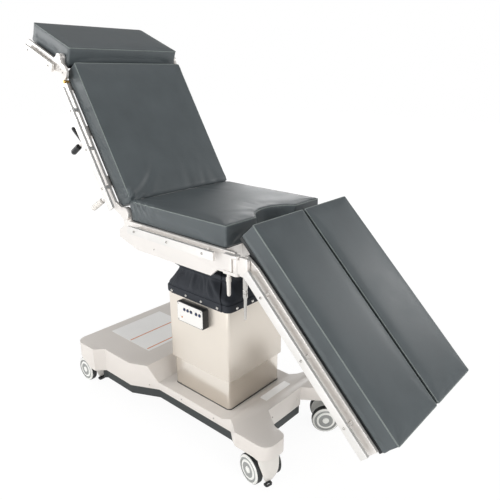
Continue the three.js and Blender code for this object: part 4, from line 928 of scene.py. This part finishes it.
class OT_casters(bpy.types.Operator):
    """Builds the four twin casters with their hoods and brake pedals"""
    bl_idname = "table.casters"
    bl_label = "Casters"

    def execute(self, context):
        sizes = context.scene.table_sizes
        for name in CASTERS:
            axle = Vector(JOINTS[f"wheels_roll_{name}"]["axis"])
            hub = joint_point(f"wheels_roll_{name}")
            other_half = [(radius, -height, finish) for radius, height, finish in reversed(WHEEL_HALF)]
            wheels = turned(f"twin_wheels_{name}", [*WHEEL_HALF, *other_half], toward(hub, axle),
                            WHEEL_FINISHES, WHEEL_SIDES)
            settled(wheels, f"wheels_{name}", "wheel_plastic", f"caster_wheels_{name}")
            pivot = joint_point(f"caster_swivel_{name}")
            turn = math.atan2(axle.y, axle.x) - math.pi / 2
            place = Matrix.Translation((pivot.x, pivot.y, 0)) @ Matrix.Rotation(turn, 4, "Z")
            hood = self.hood(name, place)
            settled(hood, f"caster_{name}", "white_plastic", f"caster_housing_{name}")
            pedal = eased(f"brake_pedal_{name}", "moulded_abs_black", sizes.plate_edge * 2)
            pedal.name = f"brake_ring_{name}"
        return {"FINISHED"}

    def hood(self, name, place):
        """The moulded shield between the wheels, and its mounting block."""
        rings = []
        for height, rear, front, half in HOOD_LEVELS:
            ring = []
            for i in range(HOOD_SIDES):
                a = 2 * math.pi * i / HOOD_SIDES
                x = math.copysign(abs(math.cos(a)) ** 0.75, math.cos(a))
                y = math.copysign(abs(math.sin(a)) ** 0.55, math.sin(a))
                bulge = 3.0 * (1 - abs(y) ** 2) if height > 20 else 0
                ring.append(place @ (Vector((
                    (rear + front) / 2 + x * (front - rear) / 2 + bulge * max(0, x), y * half, height)) * MM))
            rings.append(ring)
        shield = lofted(f"caster_hood_{name}", rings, "moulded_nylon_white", 1)
        low, high = BLOCK_ENDS
        middle, half_length = (low + high) / 2, (high - low) / 2
        outline = box_outline(low, high, -BLOCK_HALF, BLOCK_HALF, BLOCK_CORNER)
        rings = []
        for height, inset in BLOCK_LEVELS:
            scale_x, scale_y = 1 - inset / half_length, 1 - inset / BLOCK_HALF
            rings.append([place @ (Vector((middle + (x - middle) * scale_x, y * scale_y, height)) * MM)
                          for x, y in outline])
        block = lofted(f"caster_block_{name}", rings, "moulded_nylon_white")
        block.data.set_sharp_from_angle(angle=math.radians(50))
        with bpy.context.temp_override(active_object=shield, selected_editable_objects=[shield, block]):
            bpy.ops.object.join()
        return shield


# Frames, decks and brackets of the table's sections: node, finish, and edge rounding against the usual one.
SECTION_PARTS = (
    ("seat_frame", "lacquered_steel", 1.0), ("tilt_carriage", "textured_paint", 0.6),
    ("seat_deck", "laminated_board", 1.0),
    ("back_frame", "lacquered_steel", 1.0), ("back_deck", "laminated_board", 1.0),
    ("head_frame", "lacquered_steel", 1.0), ("head_deck", "laminated_board", 1.0),
    ("leg_frame_near", "lacquered_steel", 1.0), ("leg_deck_near", "laminated_board", 1.0),
    ("leg_bracket_near", "lacquered_steel", 1.0),
    ("leg_frame_far", "lacquered_steel", 1.0), ("leg_deck_far", "laminated_board", 1.0),
    ("leg_bracket_far", "lacquered_steel", 1.0))


class OT_sections(bpy.types.Operator):
    """Builds the frames, decks and brackets of the seat, back, head and leg sections"""
    bl_idname = "table.sections"
    bl_label = "Section frames"

    def execute(self, context):
        for node, finish, rounding in SECTION_PARTS:
            eased(node, finish, context.scene.table_sizes.plate_edge * rounding)
        return {"FINISHED"}


# Turned brass stop at the head end of each back rail: radius and height, and its place on the back section.
RAIL_STOP = ((0, -10), (4.5, -10), (4.5, 3), (6.4, 4), (6.6, 5), (6.6, 9), (5.6, 10.4), (0, 10.8))
STOP_X, STOP_Y, STOP_HEIGHT = -528, 272, -8
# Each rail, and the turn of its section in degrees.
RAILS = (("seat_rail", 0.0), ("back_rail", BACK_TURN), ("head_rail", HEAD_TURN), ("leg_rail", LEG_TURN))
# Screws on each rail's face: body, place of the section, height, and distances along the rail.
RAIL_SCREWS = (
    ("seat_rail", "seat", COLUMN, 816, (-161, 14, 183)),
    ("back_rail", "back", BACK, -27, (-115, -269, -422)),
    ("head_rail", "head", HEAD, -44, (-32, -182)),
    ("leg_rail", "leg", LEG, 0, (113, 323, 534)))


class OT_rails(bpy.types.Operator):
    """Builds the stainless accessory rails and the screws that hold them"""
    bl_idname = "table.rails"
    bl_label = "Accessory rails"

    def execute(self, context):
        sizes = context.scene.table_sizes
        trees = {}
        for rail, turn in RAILS:
            for side, _ in SIDES:
                node = f"{rail}_{side}"
                trees[node] = surface_tree(eased(node, "brushed_stainless", sizes.plate_edge * 0.9, turn))
        for side, sign in SIDES:
            stop_place = toward(BACK @ (Vector((STOP_X, sign * STOP_Y, STOP_HEIGHT)) * MM), (0, sign, 0))
            stop = turned(f"rail_stop_{side}", RAIL_STOP, stop_place, ["turned_brass"], 24)
            settled(stop, "back", "rail_steel")
        for rail, body, place, height, along in RAIL_SCREWS:
            for side, sign in SIDES:
                tree = trees[f"{rail}_{side}"]
                spots = [landed(tree, place @ Vector((x * MM, sign * OUTSIDE, height * MM)), (0, -sign, 0))
                         for x in along]
                name = f"leg_{side}" if body == "leg" else body
                fasteners(f"{rail}_screws_{side}", spots, name, "rail_steel", SCREW_HEAD, sizes.screw)
        return {"FINISHED"}


# Turned profiles, from the hanging point downwards: radius and drop.
CLAMP_HANDLE = (
    (0, 0), (5.4, 0), (5.4, 11), (7.2, 13.5), (8.4, 14.2), (8.4, 16.4), (7.4, 17), (7.4, 18), (8.4, 18.6),
    (8.4, 20.8), (7.4, 21.4), (7.4, 22.4), (8.4, 23), (8.4, 26.4), (7.0, 28.2), (6.6, 36), (6.2, 60),
    (6.0, 70.5), (5.2, 74), (3.2, 75.8), (0, 76.2))
LEG_LEVER = (
    (0, 0), (7.2, 0), (7.4, 1.2), (7.4, 36.5), (6.4, 38), (6.4, 40), (7.3, 41), (7.4, 42), (7.4, 50),
    (6.7, 50.8), (6.7, 52), (7.4, 52.8), (7.4, 64), (6.4, 66.5), (5.0, 69), (4.7, 90), (4.3, 130),
    (4.0, 136.5), (2.6, 139.2), (0, 139.9))
HANGING = (
    ("seat_clamp_handle", CLAMP_HANDLE, "moulded_nylon_white", "white_plastic"),
    ("leg_lever", LEG_LEVER, "nickel_plate", "inner_steel"))
# The back section's release lever: its pivot and direction on the section, and its half thickness and half
# width at each distance from the pivot.
LEVER_PIVOT = (-312, -263, -72)
LEVER_WAY = (-78, 0, -26)
LEVER_LEVELS = (
    (-6, 2.5, 3.0), (-5, 4.0, 4.4), (0, 4.8, 5.0), (22, 4.6, 4.8), (48, 6.2, 6.2), (70, 7.6, 7.2),
    (78, 7.4, 7.0), (81.5, 5.0, 4.8), (82.6, 2.0, 2.0))
LEVER_SIDES = 20
# Moulded grips that hang from the back section: node, distance along it, height, length, finish and slot.
GRIP_RADIUS = 11
GRIP_Y = -257
GRIPS = (
    ("back_black_grip", -320, -115, 54, "moulded_abs_black", "black_plastic"),
    ("back_white_grip", -93, -108, 79, "moulded_nylon_white", "white_plastic"))


class OT_levers(bpy.types.Operator):
    """Builds the clamp handles, the leg levers, and the back section's lever and grips"""
    bl_idname = "table.levers"
    bl_label = "Levers and grips"

    def execute(self, context):
        for side, _ in SIDES:
            for piece, profile, finish, slot in HANGING:
                node = f"{piece}_{side}"
                low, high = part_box(node)
                hang = Vector(((low.x + high.x) / 2, (low.y + high.y) / 2, high.z))
                made = turned(f"{node}_turned", profile, toward(hang, (0, 0, -1)), [finish], 28)
                settled(made, node, slot, node)
        self.release_lever()
        for row in GRIPS:
            self.grip(*row)
        return {"FINISHED"}

    def release_lever(self):
        """The tapered moulded lever of the back section: flat at its pivot and thick at its free end."""
        along = Vector(LEVER_WAY).normalized()
        across = Vector((along.z, 0, -along.x))
        rings = []
        for far, thick, wide in LEVER_LEVELS:
            centre = Vector(LEVER_PIVOT) + along * far
            angles = [2 * math.pi * i / LEVER_SIDES for i in range(LEVER_SIDES)]
            section = [across * thick * math.cos(a) + Vector((0, wide * math.sin(a), 0)) for a in angles]
            rings.append([BACK @ ((centre + point) * MM) for point in section])
        lever = lofted("back_release_lever", rings, "moulded_abs_black", 1)
        settled(lever, "back_lever", "black_plastic", "back_lever")

    def grip(self, node, x, top, length, finish, slot):
        """A moulded grip with finger grooves round it."""
        full, groove = GRIP_RADIUS, GRIP_RADIUS - 0.8
        profile = [(0, 0), (full - 1.6, 0), (full - 0.4, 0.8), (full, 2.4)]
        count = max(3, int(length / 9))
        for i in range(1, count):
            at = 4 + (length - 12) * i / count
            profile += [(full, at - 1.4), (groove, at - 0.6), (groove, at + 0.6), (full, at + 1.4)]
        profile += [(full, length - 5), (full - 1.2, length - 2), (full - 4, length - 0.5), (0, length)]
        down = BACK.to_3x3() @ Vector((0, 0, -1))
        hang = BACK @ (Vector((x, GRIP_Y, top)) * MM)
        settled(turned(f"{node}_moulded", profile, toward(hang, down), [finish], 32), node, slot, node)


# Half width of the pads, and the gap's half between the two leg pads.
PAD_HALF = 249
LEG_PAD_GAP = 3.8
# Pressed folds of the covers: start, end, width and depth.
SEAT_FOLDS = (
    ((-214, -249, 905), (-176, -249, 838), 9, 9.0), ((-186, -249, 905), (-146, -249, 838), 8, 8.0),
    ((-156, -249, 905), (-110, -249, 846), 8, 6.0), ((-122, -249, 905), (-60, -249, 862), 9, 4.0),
    ((-215, -200, 908), (-60, -140, 911), 12, 1.6), ((-215, 60, 908), (-40, 90, 911), 14, 1.4),
    ((196, -70, 911), (130, -190, 911), 16, 0.9), ((200, 70, 911), (110, 170, 911), 16, 0.8))
BACK_FOLDS = (
    ((-30, -236, 46), (-120, -110, 51), 10, 6.0), ((-30, -190, 46), (-190, -60, 51), 13, 3.5),
    ((-52, -249, 42), (-92, -249, -10), 9, 8.0), ((-34, -249, 40), (-60, -249, -10), 8, 8.0),
    ((-74, -246, 48), (-30, -246, 30), 7, 6.0), ((-32, 40, 46), (-200, 60, 51), 16, 1.2),
    ((-32, 190, 46), (-260, 120, 51), 16, 1.4), ((-34, 120, 46), (-170, 150, 51), 12, 1.0))


class OT_cushions(bpy.types.Operator):
    """Builds the five stuffed pads"""
    bl_idname = "table.cushions"
    bl_label = "Pads"

    def execute(self, context):
        def ramp(value, start, end):
            return max(0.0, min(1.0, (value - start) / (end - start)))

        cushion("seat_cushion", seat_outline(-229, 248, PAD_HALF, 316, 124), 834.5, 908, COLUMN,
                lambda co: 0.6 * ramp(-co.x, 80, 200), SEAT_FOLDS, tucked=lambda point: point.x < -214)
        cushion("back_cushion", box_outline(-575, -28, -PAD_HALF, PAD_HALF), -21, 48, BACK,
                lambda co: 0.5 * ramp(co.x, -200, -60), BACK_FOLDS, tucked=lambda point: point.x > -42)
        cushion("head_cushion", box_outline(-230, 30, -PAD_HALF - 2, PAD_HALF + 6), -25, 46, HEAD,
                lambda co: 0.0, pull=1.5)
        for side, sign in SIDES:
            low, high = sorted((sign * LEG_PAD_GAP, sign * PAD_HALF))
            cushion(f"leg_cushion_{side}", box_outline(-75, 646, low, high, 6), 29.3, 92.5, LEG,
                    lambda co: 0.0, crown=3.0, pull=1.5)
        return {"FINISHED"}


# Small screws on the sides: node, body, place of its section, the sides that have them, and each screw's
# distance along the section and height. A place where the side is open gets none.
SIDE_SCREWS = (
    ("base_cover", "base", COLUMN, (-1, 1), ((-235, 128), (-60, 128), (120, 128), (250, 128))),
    ("seat_frame", "seat", COLUMN, (-1, 1), ((214, 755), (226, 755), (244, 752), (250, 758), (-90, 760))),
    ("head_frame", "head", HEAD, (-1, 1), ((27, -35), (41, -41.5))),
    ("leg_frame_near", "leg_near", LEG, (-1,), ((140, -18), (610, -6))),
    ("leg_frame_far", "leg_far", LEG, (1,), ((140, -18), (610, -6))))
# Two screws on the base's foot end: half their distance, and their height, in metres.
FOOT_SCREW_Y, FOOT_SCREW_Z = 0.075, 0.150


class OT_screws(bpy.types.Operator):
    """Builds the small screws on the cover, frames and arms"""
    bl_idname = "table.screws"
    bl_label = "Cover screws"

    def execute(self, context):
        small = context.scene.table_sizes.small_screw
        for node, body, place, sides, holes in SIDE_SCREWS:
            tree = surface_tree(bpy.data.objects[f"{node}_eased"])
            spots = []
            for x, z in holes:
                for side in sides:
                    start = place @ Vector((x * MM, side * OUTSIDE, z * MM))
                    point, facing, _, _ = tree.ray_cast(start, Vector((0, -side, 0)))
                    if point is not None and abs(facing.y) > 0.9 and abs(point.y) > 0.2:
                        spots.append((point, facing))
            fasteners(f"{node}_screws", spots, body, "painted_steel", SCREW_HEAD, small)
        tree = surface_tree(bpy.data.objects["base_cover_eased"])
        end, _ = landed(tree, (1.0, -FOOT_SCREW_Y, FOOT_SCREW_Z), (-1, 0, 0))
        ends = [((end.x, side * FOOT_SCREW_Y, FOOT_SCREW_Z), (1, 0, 0)) for side in (-1, 1)]
        fasteners("foot_box_screws", ends, "base", "painted_steel", SCREW_HEAD, small)
        return {"FINISHED"}


# The camera's place and aim, measured from the photograph.
CAMERA_PLACE = (1.2760, -1.336, 1.353)
CAMERA_AIM = 40.63
CAMERA_DROP = 19.3
CAMERA_ROLL = 0.3
CAMERA_LENS = 37.77
CAMERA_SHIFT = (-0.0186, 0.007)
# Soft boxes: name, place, width, height, watts.
LAMPS = (
    ("near_soft_box", (-0.4, -4.6, 1.6), 3.6, 2.6, 124),
    ("left_soft_box", (-4.3, -1.9, 1.6), 1.6, 2.0, 46),
    ("foot_soft_box", (4.6, -0.6, 1.7), 2.8, 2.6, 85),
    ("top_soft_box", (-0.5, 0.6, 4.6), 3.0, 3.0, 24),
    ("back_soft_box", (-2.2, 3.2, 1.9), 1.0, 1.3, 16),
    ("far_soft_box", (1.9, 3.6, 2.1), 0.9, 1.3, 22),
)
WORLD_LIGHT = 0.34
GLOSS_LIGHT = 0.40
# How much of the floor's own light and shade the camera sees, and the distances in metres over which it fades
# to plain white.
FLOOR_SHADOW_SHARE = 0.12
FLOOR_SHADOW_REACH = (1.3, 2.6)
FLOOR_GLOW = 1.06
FLOOR_HALF = 14


class OT_stage(bpy.types.Operator):
    """Builds the floor, the lights and the camera"""
    bl_idname = "table.stage"
    bl_label = "Stage"

    def execute(self, context):
        scene = context.scene
        self.floor()
        self.world(scene)
        aim = Vector((0, 0, 0.75))
        for name, place, width, height, watts in LAMPS:
            lamp = bpy.data.lights.new(name, "AREA")
            lamp.shape = "RECTANGLE"
            lamp.size, lamp.size_y = width, height
            lamp.energy = watts
            holder = bpy.data.objects.new(name, lamp)
            scene.collection.objects.link(holder)
            holder.location = place
            holder.rotation_mode = "QUATERNION"
            holder.rotation_quaternion = (aim - Vector(place)).to_track_quat("-Z", "Y")
        camera = bpy.data.cameras.new("camera")
        camera.lens = CAMERA_LENS
        camera.shift_x, camera.shift_y = CAMERA_SHIFT
        holder = bpy.data.objects.new("camera", camera)
        scene.collection.objects.link(holder)
        turn, drop = math.radians(CAMERA_AIM), math.radians(CAMERA_DROP)
        look = Vector((-math.sin(turn) * math.cos(drop), math.cos(turn) * math.cos(drop), -math.sin(drop)))
        back = -look
        right = look.cross(Vector((0, 0, 1))).normalized()
        up = right.cross(look)
        aimed = Matrix((right, up, back)).transposed().to_4x4()
        roll = Matrix.Rotation(math.radians(CAMERA_ROLL), 4, "Z")
        holder.matrix_world = Matrix.Translation(CAMERA_PLACE) @ aimed @ roll
        scene.camera = holder
        scene.view_settings.view_transform = "Standard"
        return {"FINISHED"}

    def seen(self, tree, other):
        """The light path node, and 1 for camera rays and rays of another kind."""
        ray = add(tree, "ShaderNodeLightPath")
        either = add(tree, "ShaderNodeMath", {0: ray.outputs["Is Camera Ray"], 1: ray.outputs[other]},
                     operation="MAXIMUM")
        return ray, either.outputs[0]

    def floor(self):
        """A wide pale floor that shows near-white to the camera and keeps the shadow."""
        form = bmesh.new()
        form.faces.new([form.verts.new((x * FLOOR_HALF, y * FLOOR_HALF, 0))
                        for x, y in ((-1, -1), (1, -1), (1, 1), (-1, 1))])
        mesh = bpy.data.meshes.new("floor")
        form.to_mesh(mesh)
        form.free()
        paint = bpy.data.materials.new("sealed_vinyl_floor")
        paint.use_nodes = True
        tree = paint.node_tree
        tree.nodes.clear()
        flecks = add(tree, "ShaderNodeTexNoise", {
            "Vector": add(tree, "ShaderNodeTexCoord").outputs["Object"], "Scale": 3.0, "Detail": 4.0})
        tone = add(tree, "ShaderNodeValToRGB", {"Fac": flecks.outputs["Fac"]})
        tone.color_ramp.elements[0].color = (*linear("#f2f1ef"), 1)
        tone.color_ramp.elements[1].color = (*linear("#f6f5f3"), 1)
        vinyl = add(tree, "ShaderNodeBsdfDiffuse", {"Color": tone.outputs["Color"]})
        white = add(tree, "ShaderNodeEmission", {"Color": (1, 1, 1, 1), "Strength": FLOOR_GLOW})
        seen = self.seen(tree, "Is Glossy Ray")[1]
        spot = add(tree, "ShaderNodeTexCoord").outputs["Object"]
        far = add(tree, "ShaderNodeVectorMath", {0: spot}, operation="LENGTH")
        plain = add(tree, "ShaderNodeMapRange", {
            "Value": far.outputs["Value"],
            "From Min": FLOOR_SHADOW_REACH[0], "From Max": FLOOR_SHADOW_REACH[1],
            "To Min": 1 - FLOOR_SHADOW_SHARE, "To Max": 1.0})
        share = add(tree, "ShaderNodeMath", {0: seen, 1: plain.outputs["Result"]}, operation="MULTIPLY")
        mix = add(tree, "ShaderNodeMixShader", {
            "Fac": share.outputs[0], 1: vinyl.outputs["BSDF"], 2: white.outputs["Emission"]})
        add(tree, "ShaderNodeOutputMaterial", {"Surface": mix.outputs["Shader"]})
        mesh.materials.append(paint)
        linked("floor", mesh)

    def world(self, scene):
        """Even room light, seen as white by the camera and by shiny surfaces."""
        world = bpy.data.worlds.new("studio")
        world.use_nodes = True
        tree = world.node_tree
        tree.nodes.clear()
        ray, seen = self.seen(tree, "Is Transmission Ray")
        dim = add(tree, "ShaderNodeMapRange", {
            "Value": ray.outputs["Is Glossy Ray"], "To Min": WORLD_LIGHT, "To Max": GLOSS_LIGHT})
        strength = add(tree, "ShaderNodeMath", {0: seen, 1: dim.outputs["Result"]}, operation="MAXIMUM")
        room = add(tree, "ShaderNodeBackground", {"Color": (1, 1, 1, 1), "Strength": strength.outputs[0]})
        add(tree, "ShaderNodeOutputWorld", {"Surface": room.outputs["Background"]})
        scene.world = world


BUILDERS = (OT_base, OT_column, OT_boot, OT_panel, OT_casters, OT_sections, OT_rails, OT_levers, OT_screws,
            OT_cushions, OT_stage)


class VIEW3D_PT_operating_table(bpy.types.Panel):
    """Lists the table's sizes, colours and pieces"""
    bl_label = "Operating Table"
    bl_space_type = "VIEW_3D"
    bl_region_type = "UI"
    bl_category = "Operating Table"

    def draw(self, context):
        column = self.layout.column()
        for group in (context.scene.table_sizes, context.scene.table_colours):
            for name in group.__annotations__:
                column.prop(group, name)
        for builder in BUILDERS:
            column.operator(builder.bl_idname)


CLASSES = (TableSizes, TableColours, *BUILDERS, VIEW3D_PT_operating_table)


def register():
    """Makes the panel, the properties and the operators known to Blender."""
    for kind in CLASSES:
        bpy.utils.register_class(kind)
    bpy.types.Scene.table_sizes = bpy.props.PointerProperty(type=TableSizes)
    bpy.types.Scene.table_colours = bpy.props.PointerProperty(type=TableColours)


def unregister():
    """Takes them away again."""
    del bpy.types.Scene.table_colours
    del bpy.types.Scene.table_sizes
    for kind in reversed(CLASSES):
        bpy.utils.unregister_class(kind)


def main():
    """Builds every piece in order."""
    register()
    for builder in BUILDERS:
        group, name = builder.bl_idname.split(".")
        getattr(getattr(bpy.ops, group), name)()


if __name__ == "__main__":
    main()
